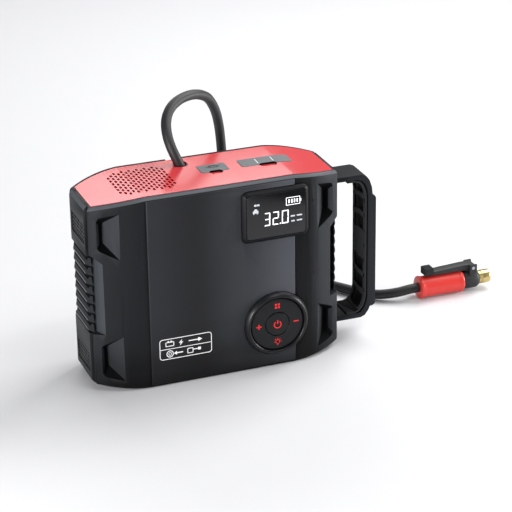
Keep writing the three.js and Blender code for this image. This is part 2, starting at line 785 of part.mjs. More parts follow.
// The strap's side view: two arms and the grip, as one bent band of varying thickness.
function handleContour(reachIn, armIn, radiusX, radiusZ, from) {
  const [low, high] = [armRise + armIn, armTop - armIn];
  const right = gripOuter - reachIn;
  const points = [[from, low]];
  const steps = 4;
  for (let i = 0; i <= steps; i += 1) {
    const angle = -Math.PI / 2 + (Math.PI / 2) * (i / steps);
    points.push([right - radiusX + radiusX * Math.cos(angle),
      low + radiusZ + radiusZ * Math.sin(angle)]);
  }
  for (let i = 0; i <= steps; i += 1) {
    const angle = (Math.PI / 2) * (i / steps);
    points.push([right - radiusX + radiusX * Math.cos(angle),
      high - radiusZ + radiusZ * Math.sin(angle)]);
  }
  points.push([from, high]);
  return points;
}

function handleStrap() {
  const from = bodyEnd - armInside;
  const outer = handleContour(gripStep, 0, cornerReach, cornerHeight, from);
  const inner = handleContour(gripThickness, armThickness,
    cornerReach + gripStep - armThickness, cornerHeight - armThickness, from);
  const half = handleWidth / 2;
  const strap = extrudeY(shapeOf([...outer, ...inner.reverse()]), -half, half);
  const gripLow = armRise + gripRise;
  const grip = roundRect(gripOuter - gripThickness, gripLow, gripThickness,
    armTop - gripDrop - gripLow, gripCorner);
  return join(strap, extrudeY(grip, -half, half));
}

function handlePad() {
  const from = bodyEnd + padStart;
  const reach = gripThickness + padGap;
  const arm = armThickness + fit;
  const radiusX = cornerReach + gripStep - armThickness + 1.4;
  const radiusZ = cornerHeight - armThickness + 0.4;
  const outer = handleContour(reach, arm, radiusX, radiusZ, from);
  const inner = handleContour(reach + padThickness, arm + padThickness,
    radiusX - padThickness, radiusZ - padThickness, from);
  const half = handleWidth / 2 - 0.4;
  const band = extrudeY(shapeOf([...outer, ...inner.reverse()]), -half, half);
  const midZ = (armTop + armRise) / 2;
  const leaf = (z, tall, lean) => {
    const w = padOpeningHalf;
    const shape = new THREE.Shape();
    const [high, low, bow] = [z + tall / 2, z - tall / 2, 2 * Math.sign(lean)];
    shape.moveTo(w, high - lean);
    shape.quadraticCurveTo(0, high + bow, -w, high + lean);
    shape.lineTo(-w, low + lean);
    shape.quadraticCurveTo(0, low + bow, w, low - lean);
    return extrudeX(shape, bodyEnd + 20, gripOuter - gripThickness + 0.2, 2);
  };
  const openings = [];
  const openingReach = (armTop - armRise) / 2 - padEnd;
  const height = (openingReach - padOval / 2 - 2 * padBar) / 3;
  for (const side of [-1, 1]) {
    for (let i = 0; i < 3; i += 1) {
      const offset = padOval / 2 + height / 2 + i * (height + padBar);
      openings.push(leaf(midZ + side * offset, height, side * 0.8));
    }
  }
  const railHoles = [];
  for (let i = -3; i <= 3; i += 1) {
    for (const side of [-1, 1]) {
      const y = side * ((half + padOpeningHalf) / 2 + 0.1);
      const z = midZ + i * padRailPitch;
      railHoles.push(block([bodyEnd + 20, y - 0.75, z - padRailHole / 2],
        [gripOuter - gripThickness + 0.2, y + 0.75, z + padRailHole / 2]));
    }
  }
  return cut(band, openings, railHoles);
}

// Slots in the right-hand end panel that the handle's arms pass through.
function armSlots() {
  const half = handleWidth / 2 + fit;
  return [armRise, armTop - armThickness].map((z) =>
    block([0, -half, z - fit], [far, half, z + armThickness + fit]));
}

// ---- Display and keypad --------------------------------------------------------------------

function displayRing(y, draw) {
  const shape = displayShape(-draw);
  const points = shape.getPoints(2);
  points.pop();
  return points.map((point) => new THREE.Vector3(point.x, y, point.y));
}

const displayFace = frontY - displayProud;
const bezelBack = frontY + wall + 2;

const glassShape = (grow) => roundRect(
  displayX - displayWidth / 2 + displayBevel + glassRim - grow,
  displayZ - displayHeight / 2 + displayBevel + glassRim - grow,
  displayWidth - 2 * (displayBevel + glassRim - grow),
  displayHeight - 2 * (displayBevel + glassRim - grow),
  displayCorner - displayBevel);

function displayBezel() {
  const frame = loft([
    displayRing(displayFace, displayBevel), displayRing(faceY, 0.2),
    displayRing(faceY + 0.4, 0), displayRing(bezelBack, 0)]);
  const underRoof = housingForm({ side: -far, end: -far / 2, top: underShelf + fit });
  const flange = extrudeY(displayShape(flangeWidth), bezelBack, bezelBack + flangeThickness)
    .intersect(underRoof);
  const seat = extrudeY(glassShape(fit), -far, displayFace + glassThickness + fit);
  const well = extrudeY(glassShape(-1.6), -far, 0);
  return cut(join(frame, flange), seat, well);
}

const displayGlass = () =>
  extrudeY(glassShape(0), displayFace, displayFace + glassThickness);

function displayModule() {
  const front = displayFace + glassThickness + fit + fit;
  return extrudeY(glassShape(-1.6 - fit), front, front + 3.4);
}

const keypadCentre = [keypadX, 0, keypadZ];

function keypadRing() {
  const crest = faceY - keypadProud + fasciaProud;
  const inner = discRadius + keyClearance;
  const profile = [
    [inner, crest + 1.2], [inner + 0.8, crest], [keypadRidge, crest],
    [keypadRadius, faceY - 0.2], [keypadRadius, bezelBack],
    [keypadRadius + flangeWidth, bezelBack], [keypadRadius + flangeWidth, bezelBack + flangeThickness],
    [inner, bezelBack + flangeThickness]];
  return revolve(profile, roundSides, 'y', keypadCentre);
}

const discFace = faceY - discProud + fasciaProud;
const discBack = discFace + discThickness;
const pivotFront = discBack + fit;

function navDisc() {
  const inner = okRadius + keyClearance;
  const profile = [
    [inner, discFace + 0.4], [inner + 0.5, discFace], [discRadius - 1.2, discFace],
    [discRadius, discFace + 0.9], [discRadius, discBack], [inner, discBack]];
  return revolve(profile, roundSides, 'y', keypadCentre);
}

function navPivotRing() {
  const inner = okRadius + keyClearance;
  return tube(inner, inner + pivotRingWidth, pivotFront, pivotFront + pivotRingThickness,
    roundSides, 'y', keypadCentre);
}

const keyBaseFront = pivotFront + pivotRingThickness + keyGap;

function okButton() {
  const face = faceY - okProud + fasciaProud;
  const profile = [
    [0, face], [okRadius - 1, face], [okRadius, face + 0.6], [okRadius, face + okThickness],
    [0, face + okThickness]];
  return revolve(profile, roundSides, 'y', keypadCentre);
}

function keySheet() {
  const back = keyBaseFront + 1;
  return rod(discRadius, keyBaseFront, back, 16, 'y', keypadCentre);
}

function keypadBoard() {
  const front = keyBaseFront + 1 + fit;
  return rod(discRadius, front, front + boardThickness, 16, 'y', keypadCentre);
}

// ---- Sockets, flaps and lamp ---------------------------------------------------------------

function flap(left, width, dividers) {
  const under = flapThickness - flapProud;
  const skin = topSkin(flapPlan(left, width, 0), -flapProud, under);
  const plug = topSkin(portPlan(left, width, -1), under - 0.1, under + 1.6);
  const grooves = dividers.map((x) => block(
    [x - 0.35, flapFront + 1, topAt(x) + flapProud - 0.35],
    [x + 0.35, flapFront + flapDepth - 1, overTop]));
  return cut(join(skin, plug), grooves);
}

const usbDividers = [usbFlapLeft + usbFlapWidth / 3, usbFlapLeft + (2 * usbFlapWidth) / 3];

function socketBlock(left, width, depth, wells) {
  const margin = 1.2;
  const body = block(
    [left + portMargin - margin, flapFront + portMargin - margin, bodyHeight - depth],
    [left + width - portMargin + margin, flapFront + flapDepth - portMargin + margin, overTop]);
  const fitted = body.intersect(housingForm({ side: 0, top: panelThickness + fit }));
  return cut(fitted, wells);
}

// A well for a plug, open to the top.
const plugWell = (x, y, width, depth, drop) => block(
  [x - width / 2, y - depth / 2, bodyHeight - drop], [x + width / 2, y + depth / 2, overTop]);

const portY = flapFront + flapDepth / 2;

function jumpSocket() {
  const x = jumpFlapLeft + jumpFlapWidth / 2;
  const well = plugWell(x, portY, 14.6, 7.6, 16);
  const pins = [-1, 1].map((side) =>
    tube(1.6, 2.6, bodyHeight - 17, bodyHeight - 9, 12, 'z', [x + side * 4.2, portY, 0]));
  return join(socketBlock(jumpFlapLeft, jumpFlapWidth, 24, [well]), pins);
}

function portBlock() {
  const third = usbFlapWidth / 3;
  const centre = (i) => usbFlapLeft + third * (i + 0.5);
  const wells = [
    plugWell(centre(0) + 1, portY, 5.8, 7.9, 12),
    plugWell(centre(1), portY, 5.6, 8.9, 12),
    rod(3.6, bodyHeight - 12, overTop, 16, 'z', [centre(2) - 1, portY, 0]),
  ];
  return socketBlock(usbFlapLeft, usbFlapWidth, 16, wells);
}

const rearY = bodyDepth / 2;

function lampLens() {
  const lens = extrudeY(lampShape(0), rearY - lensThickness, rearY + lensProud);
  const flange = extrudeY(
    lampShape(flangeWidth), rearY - wall - fit - 1, rearY - wall - fit);
  const neck = extrudeY(lampShape(-0.4), rearY - wall - fit - 0.5, rearY - lensThickness + 0.5);
  return join(lens, neck, flange);
}

function lampReflector() {
  const front = rearY - wall - fit - 1 - fit;
  const tray = extrudeY(lampShape(1), front - 5, front);
  const bowls = [];
  for (let i = -2; i <= 2; i += 1) {
    const x = (i * lampWidth) / 5.2;
    bowls.push(revolve([[0, front - 4], [1.6, front - 4], [5, front + 0.1], [0, front + 0.1]], 8,
      'y', [x, 0, lampZ]));
  }
  return cut(tray, bowls);
}

function lampBoard() {
  const back = rearY - wall - fit - 1 - fit - 5 - fit;
  return extrudeY(lampShape(0), back - boardThickness, back);
}

// ---- Battery and main board ----------------------------------------------------------------

const packDepth = cellCount * cellThickness + (cellCount - 1) * cellGap;
const cellFloor = trayFloor + trayWall + fit;

function batteryCell(index) {
  const y0 = -packDepth / 2 + index * (cellThickness + cellGap);
  const shape = roundRect(y0, cellFloor, cellThickness, cellHeight, 2);
  return extrudeX(shape, cellLeft, cellLeft + cellLength, 1);
}

function batteryTray() {
  const [x0, x1] = [cellLeft - fit - trayWall, cellLeft + cellLength + fit + trayWall];
  const y = packDepth / 2 + fit + trayWall;
  const shell = cut(
    block([x0, -y, trayFloor], [x1, y, trayFloor + trayHeight]),
    block([x0 + trayWall, -y + trayWall, trayFloor + trayWall],
      [x1 - trayWall, y - trayWall, bodyHeight]));
  const legs = [];
  for (const x of [x0 + 8, (x0 + x1) / 2, x1 - 12]) {
    legs.push(block([x - 2, -y, panelThickness + fit], [x + 2, y, trayFloor + 0.2]));
  }
  return join(shell, legs);
}

function powerLead(offset) {
  const x = jumpFlapLeft + jumpFlapWidth / 2 + offset;
  const low = cellFloor + cellHeight + fit;
  const high = bodyHeight - 24 - fit;
  const route = new THREE.CatmullRomCurve3([
    new THREE.Vector3(x, 0, low), new THREE.Vector3(x, 0, low + 12),
    new THREE.Vector3(x, portY / 2, (low + high) / 2),
    new THREE.Vector3(x, portY, high - 12), new THREE.Vector3(x, portY, high)]);
  const shape = new THREE.Shape();
  shape.absarc(0, 0, 2.4, 0, 2 * Math.PI);
  const options = { extrudePath: route, steps: 10, bevelEnabled: false, curveSegments: 3 };
  return solidOf(new THREE.ExtrudeGeometry(shape, options));
}

function mainBoard() {
  const y = frontY + mainBoardInset;
  return block([mainBoardLeft, y, mainBoardLow],
    [mainBoardLeft + mainBoardWidth, y + boardThickness, mainBoardLow + mainBoardHeight]);
}

// ---- Compressor ----------------------------------------------------------------------------

const gearCentre = (gearModule * (pinionTeeth + gearTeeth)) / 2;
const gearZ = motorZ + gearCentre;
const motorRight = motorLeft + motorLength;
const gearPlateLeft = motorRight + fit;
const gearPlateRight = gearPlateLeft + gearPlateThickness;
const gearLeft = gearPlateRight + 1.2;
const gearRight = gearLeft + gearWidth;
const pumpLeft = gearRight + 1.4;
const pumpRight = pumpLeft + pumpLength;

// A spur gear's outline with involute flanks, centred on the origin of its plane.
function gearShape(teeth, phase) {
  const pitch = (gearModule * teeth) / 2;
  const base = pitch * Math.cos(THREE.MathUtils.degToRad(20));
  const [root, tip] = [pitch - 1.25 * gearModule, pitch + 0.9 * gearModule];
  const involute = (radius) => {
    const angle = Math.acos(Math.min(1, base / radius));
    return Math.tan(angle) - angle;
  };
  const half = Math.PI / (2 * teeth) - toothThinning / (2 * pitch);
  const widthAt = (radius) => half + involute(pitch) - involute(Math.max(radius, base));
  const radii = [root, pitch, tip];
  const points = [];
  for (let tooth = 0; tooth < teeth; tooth += 1) {
    const centre = phase + (2 * Math.PI * tooth) / teeth;
    for (const radius of radii) {
      points.push([radius, centre - widthAt(radius)]);
    }
    for (const radius of [...radii].reverse()) {
      points.push([radius, centre + widthAt(radius)]);
    }
  }
  return shapeOf(points.map(([radius, angle]) =>
    [radius * Math.cos(angle), radius * Math.sin(angle)]));
}

// The pinion's tooth points up to the gear, whose gap points down to it.
function driveGear() {
  const phase = -Math.PI / 2 + Math.PI / gearTeeth;
  const gear = extrudeX(gearShape(gearTeeth, phase), gearLeft, gearRight).translate(0, 0, gearZ);
  const shaft = rod(
    crankShaftRadius, gearPlateLeft, pumpLeft + shaftEngagement, 16, 'x', [0, 0, gearZ]);
  return join(gear, shaft);
}

function motorRotor() {
  const pinion = extrudeX(gearShape(pinionTeeth, Math.PI / 2), gearLeft - 0.8,
    gearLeft - 0.8 + pinionWidth).translate(0, 0, motorZ);
  const shaftLeft = motorLeft - fanStandoff - fanThickness - 0.6;
  const shaft = rod(shaftRadius, shaftLeft, gearRight + 1, 12, 'x', [0, 0, motorZ]);
  return join(pinion, shaft);
}

function coolingFan() {
  const to = motorLeft - fanStandoff;
  const from = to - fanThickness;
  const hub = tube(shaftRadius + 0.1, fanHub, from, to, 16, 'x', [0, 0, motorZ]);
  const blades = [];
  for (let i = 0; i < fanBlades; i += 1) {
    const root = fanHub - 0.5;
    const blade = new THREE.BoxGeometry(1, fanRadius - root, fanThickness + 1).rotateY(0.7);
    blade.translate(0, (fanRadius + root) / 2, 0);
    blade.rotateX((2 * Math.PI * i) / fanBlades);
    blades.push(solidOf(blade.translate((from + to) / 2, 0, motorZ)));
  }
  const slab = block([from, -far, 0], [to, far, bodyHeight]);
  return join(hub, blades).intersect(slab);
}

function motorCan() {
  const profile = [
    [shaftRadius + fit, motorLeft], [motorRadius - 2, motorLeft], [motorRadius, motorLeft + 2],
    [motorRadius, motorRight - 2], [motorRadius - 2, motorRight], [shaftRadius + fit, motorRight]];
  return revolve(profile, 16, 'x', [0, 0, motorZ]);
}

const baseTop = trayFloor + baseThickness;

function compressorBase() {
  const right = pumpRight;
  const half = baseWidth / 2;
  const plate = block([motorLeft, -half, trayFloor], [right, half, baseTop]);
  const legs = [-creaseX + legThickness, right - 1.5 * legThickness].map((x) =>
    block([x - legThickness / 2, -half, panelThickness + fit],
      [x + legThickness / 2, half, trayFloor + 0.2]));
  const saddles = [motorLeft + 1, motorRight - 2.5 * saddleDepth].map((x) =>
    block([x, -saddleWidth / 2, baseTop - 0.2],
      [x + saddleDepth, saddleWidth / 2, motorZ - saddleReach]));
  const standTop = gearZ - crankcaseHalf - fit;
  const stand = block([pumpLeft, -pumpWidth / 2, baseTop - 0.2],
    [pumpRight, pumpWidth / 2, standTop]);
  const hollow = block([pumpLeft - 1, -pumpWidth / 2 + standWall, baseTop + standWall],
    [pumpRight + 1, pumpWidth / 2 - standWall, standTop - standWall]);
  const can = rod(motorRadius + fit + 0.3, motorLeft - 1, motorRight + 1, 16, 'x', [0, 0, motorZ]);
  return cut(join(plate, legs, saddles, cut(stand, hollow)), can);
}

function gearPlate() {
  const low = baseTop + fit;
  const plate = extrudeX(
    roundRect(-gearPlateWidth / 2, low, gearPlateWidth, gearZ + gearPlateTop - low, 6),
    gearPlateLeft, gearPlateRight);
  const bores = [
    rod(shaftRadius + fit + 3, -far, far, 12, 'x', [0, 0, motorZ]),
    rod(crankShaftRadius + bearingGap, -far, far, 16, 'x', [0, 0, gearZ])];
  return cut(plate, bores);
}

function pumpBody() {
  const [low, high] = [gearZ - crankcaseHalf, gearZ + crankcaseHalf];
  const crankcase = extrudeX(roundRect(-pumpWidth / 2, low, pumpWidth, high - low, 4),
    pumpLeft, pumpRight);
  const middle = (pumpLeft + pumpRight) / 2;
  const barrel = rod(cylinderRadius - 2, high - 1, high + cylinderHeight, 12, 'z', [middle, 0, 0]);
  const ribs = [];
  for (let i = 0; i < 3; i += 1) {
    const z = high + 5 + i * cylinderRibGap;
    ribs.push(rod(cylinderRadius, z, z + cylinderRib, 12, 'z', [middle, 0, 0]));
  }
  const bore = rod(crankShaftRadius + bearingGap, pumpLeft - 1,
    pumpLeft + shaftEngagement + fit, 16, 'x', [0, 0, gearZ]);
  return cut(join(crankcase, barrel, ribs), bore);
}

const headLow = gearZ + crankcaseHalf + cylinderHeight + fit;
const nippleTop = headLow + headThickness + nippleLength;

function cylinderHead() {
  const middle = (pumpLeft + pumpRight) / 2;
  const top = headLow + headThickness;
  const head = rod(cylinderRadius + 1, headLow, top, 16, 'z', [middle, 0, 0]);
  const nipple = rod(nippleRadius, top - 0.2, nippleTop, 12, 'z', [middle, 0, 0]);
  return join(head, nipple);
}

// ---- Hose, gland and chuck -----------------------------------------------------------------

const leanRadians = THREE.MathUtils.degToRad(hoseLean);
const hoseDirection = new THREE.Vector3(-Math.sin(leanRadians), 0, Math.cos(leanRadians));
const exitPoint = new THREE.Vector3(...hoseExit);

// A solid made along +Z from the origin, leaned over and set with its origin at a point.
function leaned(solid, point) {
  const geometry = geometryOf(solid).rotateY(-leanRadians).translate(point.x, point.y, point.z);
  return solidOf(geometry);
}

const hoseWellFloor = bodyHeight - hoseWellDepth;

function hoseGland() {
  const base = exitPoint.clone().addScaledVector(hoseDirection, -glandLength - fit);
  const profile = [
    [0, 0], [glandRadius, 0], [glandRadius, 2.4], [hoseDiameter / 2 + 0.9, 3.4],
    [hoseDiameter / 2 + 0.5, glandLength], [0, glandLength]];
  const foot = rod(glandRadius - 1.2, hoseWellFloor + fit, hoseWellFloor + 5, 16, 'z',
    [base.x, base.y, 0]);
  return join(leaned(revolve(profile, 12, 'z', [0, 0, 0]), base), foot);
}

// Tub under the panel's notch, which holds the gland.
function hoseWell() {
  const floor = hoseWellFloor;
  const [left, right] = [hoseWellLeft - 1, hoseWellLeft + hoseWellWidth + hoseWellUndercut];
  const [front, back] = [hoseWellFront - 1.5, rearY - wall - shelfWidth - rimWidth + 2];
  const top = bodyHeight - panelThickness - fit;
  const t = hoseWellWall;
  const tub = cut(
    block([left - t, front - t, floor - t], [right + t, back, top]),
    block([left, front, floor], [right, back + 1, top + 1]));
  return tub;
}

function airTube() {
  const middle = (pumpLeft + pumpRight) / 2;
  const start = [middle, 0, nippleTop + fit];
  const floor = hoseWellFloor - hoseWellWall - fit;
  const [x, y] = [hoseExit[0] + 2.6, hoseExit[1]];
  const route = new THREE.CatmullRomCurve3([
    new THREE.Vector3(...start), new THREE.Vector3(middle, 0, start[2] + 3),
    new THREE.Vector3((middle + x) / 2, y / 2, (start[2] + floor) / 2),
    new THREE.Vector3(x, y, floor - 3), new THREE.Vector3(x, y, floor)]);
  const shape = new THREE.Shape();
  shape.absarc(0, 0, nippleRadius, 0, 2 * Math.PI);
  const options = { extrudePath: route, steps: 10, bevelEnabled: false, curveSegments: 3 };
  return solidOf(new THREE.ExtrudeGeometry(shape, options));
}

// The free hose: up out of the gland, over in an arch behind the housing and along the ground.
const hoseRoute = [
  hoseExit, [-13, 20.5, 160.6], [-15.2, 21.1, 166], [-17.4, 22.6, 171.8], [-19, 25, 177.2],
  [-19.7, 28.4, 182.4], [-19.4, 32.6, 187.4], [-18, 37.2, 192], [-15.2, 42, 196.2],
  [-10.8, 47, 199.8], [-5, 51.8, 202.2], [1.8, 56.4, 203.4], [9, 60.8, 203.4], [16.4, 65.6, 202],
  [23.8, 70.8, 198.8], [31, 76.4, 193.6], [37.2, 82, 185], [42.2, 87.4, 174.6], [46, 91.8, 161],
  [48.6, 95.2, 144], [50.4, 97.8, 124], [51.8, 99.6, 102], [53.4, 101, 80], [56.4, 101.8, 58.6],
  [62.4, 102, 40], [71.6, 102, 25], [83.6, 102, 13.8], [97.8, 101.2, 6.9], [112.5, 98.6, 4.8],
  [127, 92.4, 4.8], [139.8, 82.6, 4.8], [150.6, 68.6, 4.8], [161, 54.4, 4.8], [173, 44.2, 5.6],
  [186.4, 38, 7.8], [196, 36.1, 9.6], chuckStart,
];

function airHose() {
  const points = hoseRoute.map((point) => new THREE.Vector3(...point));
  const last = points.length - 1;
  const ahead = new THREE.Vector3(-1, 0, 0);
  points[last].addScaledVector(ahead, fit);
  const route = new THREE.CatmullRomCurve3(points, false, 'centripetal');
  const shape = new THREE.Shape();
  shape.absarc(0, 0, hoseDiameter / 2, 0, 2 * Math.PI);
  const steps = Math.round(route.getLength() / (2 * hoseDiameter));
  const options = {
    extrudePath: route, steps, bevelEnabled: false, curveSegments: hoseSides / 2 };
  return solidOf(new THREE.ExtrudeGeometry(shape, options));
}

const chuckY = chuckStart[1];
const chuckZ = chuckStart[2];
const chuckX = chuckStart[0];
const headX = chuckX + chuckLength + fit;
const pinX = headX + chuckHeadLength * 0.55;
const pinZ = chuckZ + chuckHeadRadius + 4.2;

function chuckBody() {
  const profile = [
    [0, 0], [6, 0], [6.4, 2], [chuckRadius - 1, 5], [chuckRadius, 7],
    [chuckRadius, chuckLength - 1.5], [chuckRadius - 1.2, chuckLength], [0, chuckLength]];
  return revolve(profile, 16, 'x', [chuckX, chuckY, chuckZ]);
}

function chuckHead() {
  const profile = [
    [0, 0], [chuckHeadRadius, 0], [chuckHeadRadius, chuckHeadLength - 3],
    [nozzleRadius + 0.6, chuckHeadLength], [0, chuckHeadLength]];
  const head = revolve(profile, 16, 'x', [headX, chuckY, chuckZ]);
  const ears = [-1, 1].map((side) => {
    const y = chuckY + side * (leverWidth / 2 + fit + earThickness / 2);
    return block([pinX - 3.4, y - earThickness / 2, chuckZ + 4],
      [pinX + 3.4, y + earThickness / 2, pinZ + 3]);
  });
  const pinHole = rod(leverPinRadius + 0.05, -far, far, 12, 'y', [pinX, 0, pinZ]);
  return cut(join(head, ears), pinHole);
}

function chuckPin() {
  const half = leverWidth / 2 + fit + earThickness;
  return rod(leverPinRadius, chuckY - half, chuckY + half, 12, 'y', [pinX, 0, pinZ]);
}

function chuckLever() {
  const half = leverWidth / 2;
  const low = chuckZ + chuckRadius + 0.6;
  const back = pinX - leverLength;
  const shape = shapeOf([
    [pinX + 3, pinZ - 2.2], [pinX + 3.2, pinZ + 1.4], [pinX + 1.4, pinZ + 3],
    [pinX - 8, pinZ + 3.2], [back + 9, low + leverThickness + 0.6],
    [back + 3, low + leverThickness + 2.2], [back, low + leverThickness + 1.6],
    [back + 1.4, low + 1.6], [back + 9, low], [pinX - 10, low], [pinX - 2.6, pinZ - 2.6],
  ]);
  const lever = extrudeY(shape, chuckY - half, chuckY + half);
  return cut(lever, rod(leverPinRadius + 0.05, -far, far, 12, 'y', [pinX, 0, pinZ]));
}

function chuckNozzle() {
  const [from, to] = [chuckHeadLength + fit, chuckHeadLength + fit + nozzleLength];
  const profile = [
    [0, from], [nozzleRadius, from], [nozzleRadius, to - 1], [nozzleRadius - 1, to],
    [nozzleBore, to], [nozzleBore, from + 1.5], [0, from + 1.5]];
  return revolve(profile, 16, 'x', [headX, chuckY, chuckZ]);
}

// ---- Assembly ------------------------------------------------------------------------------

const pack = new THREE.Group();

function add(name, solid, material) {
  const mesh = new THREE.Mesh(geometryOf(solid), material);
  mesh.name = name;
  pack.add(mesh);
}

add('front_shell', frontShell(), finishes.shell);
add('front_fascia', frontFascia(), finishes.fascia);
add('rear_shell', rearShell(), finishes.shell);
add('top_panel', topPanel(), finishes.red);
add('bottom_panel', bottomPanel(), finishes.black);
const leftEnd = endPanel(meshBands(leftMeshRise, leftMeshDrop), []);
add('left_end_panel', reflectX(leftEnd), finishes.shell);
const rightEnd = endPanel(meshBands(rightMeshRise, rightMeshDrop), armSlots());
add('right_end_panel', rightEnd, finishes.shell);
screwPlaces.forEach((place, i) => add(`case_screw_${i + 1}`, caseScrew(place), finishes.steel));

add('display_bezel', displayBezel(), finishes.shell);
add('display_glass', displayGlass(), finishes.glass);
add('display_module', displayModule(), finishes.black);
add('keypad_ring', keypadRing(), finishes.gloss);
add('nav_disc', navDisc(), finishes.key);
add('nav_pivot_ring', navPivotRing(), finishes.nylon);
add('ok_button', okButton(), finishes.key);
add('key_sheet', keySheet(), finishes.rubber);
add('keypad_board', keypadBoard(), finishes.board);

add('jump_socket', jumpSocket(), finishes.black);
add('port_block', portBlock(), finishes.black);
add('jump_flap', flap(jumpFlapLeft, jumpFlapWidth, []), finishes.rubber);
add('usb_flap', flap(usbFlapLeft, usbFlapWidth, usbDividers), finishes.rubber);
add('lamp_lens', lampLens(), finishes.lens);
add('lamp_reflector', lampReflector(), finishes.white);
add('lamp_board', lampBoard(), finishes.board);

add('handle_strap', handleStrap(), finishes.shell);
add('handle_pad', handlePad(), finishes.grip);

for (let i = 0; i < cellCount; i += 1) add(`battery_cell_${i + 1}`, batteryCell(i), finishes.cell);
add('battery_tray', batteryTray(), finishes.black);
add('power_lead_plus', powerLead(4.2), finishes.chuckRed);
add('power_lead_minus', powerLead(-4.2), finishes.black);
add('main_board', mainBoard(), finishes.board);

add('compressor_base', compressorBase(), finishes.black);
add('motor_can', motorCan(), finishes.steel);
add('motor_rotor', motorRotor(), finishes.steel);
add('cooling_fan', coolingFan(), finishes.black);
add('gear_plate', gearPlate(), finishes.alloy);
add('drive_gear', driveGear(), finishes.nylon);
add('pump_body', pumpBody(), finishes.alloy);
add('cylinder_head', cylinderHead(), finishes.alloy);
add('air_tube', airTube(), finishes.hose);

add('hose_well', hoseWell(), finishes.black);
add('hose_gland', hoseGland(), finishes.black);
add('air_hose', airHose(), finishes.hose);
add('chuck_body', chuckBody(), finishes.chuckRed);
add('chuck_head', chuckHead(), finishes.black);
add('chuck_pin', chuckPin(), finishes.steel);
add('chuck_lever', chuckLever(), finishes.black);
add('chuck_nozzle', chuckNozzle(), finishes.brass);

export default pack;
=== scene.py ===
"""Looks of the jump starter pack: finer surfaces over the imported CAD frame, finishes, camera."""
import json
import math

import bmesh
import bpy
from mathutils import Matrix, Vector


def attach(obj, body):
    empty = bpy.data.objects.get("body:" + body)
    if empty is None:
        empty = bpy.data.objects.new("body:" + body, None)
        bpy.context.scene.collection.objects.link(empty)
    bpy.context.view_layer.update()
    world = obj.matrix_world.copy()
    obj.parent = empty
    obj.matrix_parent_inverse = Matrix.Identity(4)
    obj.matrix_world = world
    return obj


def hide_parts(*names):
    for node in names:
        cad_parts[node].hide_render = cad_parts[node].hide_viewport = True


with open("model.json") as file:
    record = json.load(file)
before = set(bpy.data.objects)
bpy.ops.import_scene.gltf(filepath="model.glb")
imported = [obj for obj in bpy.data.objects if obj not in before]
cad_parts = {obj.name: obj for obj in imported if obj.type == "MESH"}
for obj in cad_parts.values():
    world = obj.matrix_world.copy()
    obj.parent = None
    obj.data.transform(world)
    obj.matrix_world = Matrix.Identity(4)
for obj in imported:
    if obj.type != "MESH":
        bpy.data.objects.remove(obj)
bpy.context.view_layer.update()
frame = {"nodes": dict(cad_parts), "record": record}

# Sizes are in millimetres, in the frame of the part, and MM turns them into metres.
MM = 0.001
nodes = frame["nodes"]
body_of_node = {
    name: body
    for body, members in frame["record"]["behaviour"]["bodies"].items()
    for name in members
}
slot_of_node = {row["node"]: row["material_slot"] for row in frame["record"]["subparts"]}

# ---- Finishes ----

GRAIN_SIZE, GRAIN_DEPTH = 2600.0, 0.0002
MOTTLE_SIZE, ROUGHNESS_SPREAD = 38.0, 0.04


def linear(hex_colour):
    """An sRGB hex colour as linear RGBA."""
    out = []
    for shift in (16, 8, 0):
        c = ((hex_colour >> shift) & 255) / 255
        out.append(c / 12.92 if c <= 0.04045 else ((c + 0.055) / 1.055) ** 2.4)
    return (*out, 1.0)


def new_material(name):
    """A material with its node tree and its shader."""
    material = bpy.data.materials.new(name)
    material.use_nodes = True
    tree = material.node_tree
    return material, tree, tree.nodes["Principled BSDF"]


def noise(tree, coords, scale, detail):
    """A noise pattern that stays on the piece."""
    pattern = tree.nodes.new("ShaderNodeTexNoise")
    pattern.inputs["Scale"].default_value = scale
    pattern.inputs["Detail"].default_value = detail
    tree.links.new(coords.outputs["Object"], pattern.inputs["Vector"])
    return pattern.outputs["Fac"]


def tone_along(tree, coords, axis, stops):
    """A grey level that changes along one axis, from (millimetres, level) stops; it paints light
    and shade.
    """
    split = tree.nodes.new("ShaderNodeSeparateXYZ")
    tree.links.new(coords.outputs["Object"], split.inputs["Vector"])
    scaled = tree.nodes.new("ShaderNodeMapRange")
    scaled.inputs["From Min"].default_value = stops[0][0] * MM
    scaled.inputs["From Max"].default_value = stops[-1][0] * MM
    tree.links.new(split.outputs[axis], scaled.inputs["Value"])
    ramp = tree.nodes.new("ShaderNodeValToRGB")
    ramp.color_ramp.interpolation = "EASE"
    reach = stops[-1][0] - stops[0][0]
    elements = ramp.color_ramp.elements
    while len(elements) < len(stops):
        elements.new(0.5)
    for element, (place, level) in zip(elements, stops):
        element.position = (place - stops[0][0]) / reach
        element.color = (level, level, level, 1)
    tree.links.new(scaled.outputs["Result"], ramp.inputs["Fac"])
    return ramp.outputs["Color"]


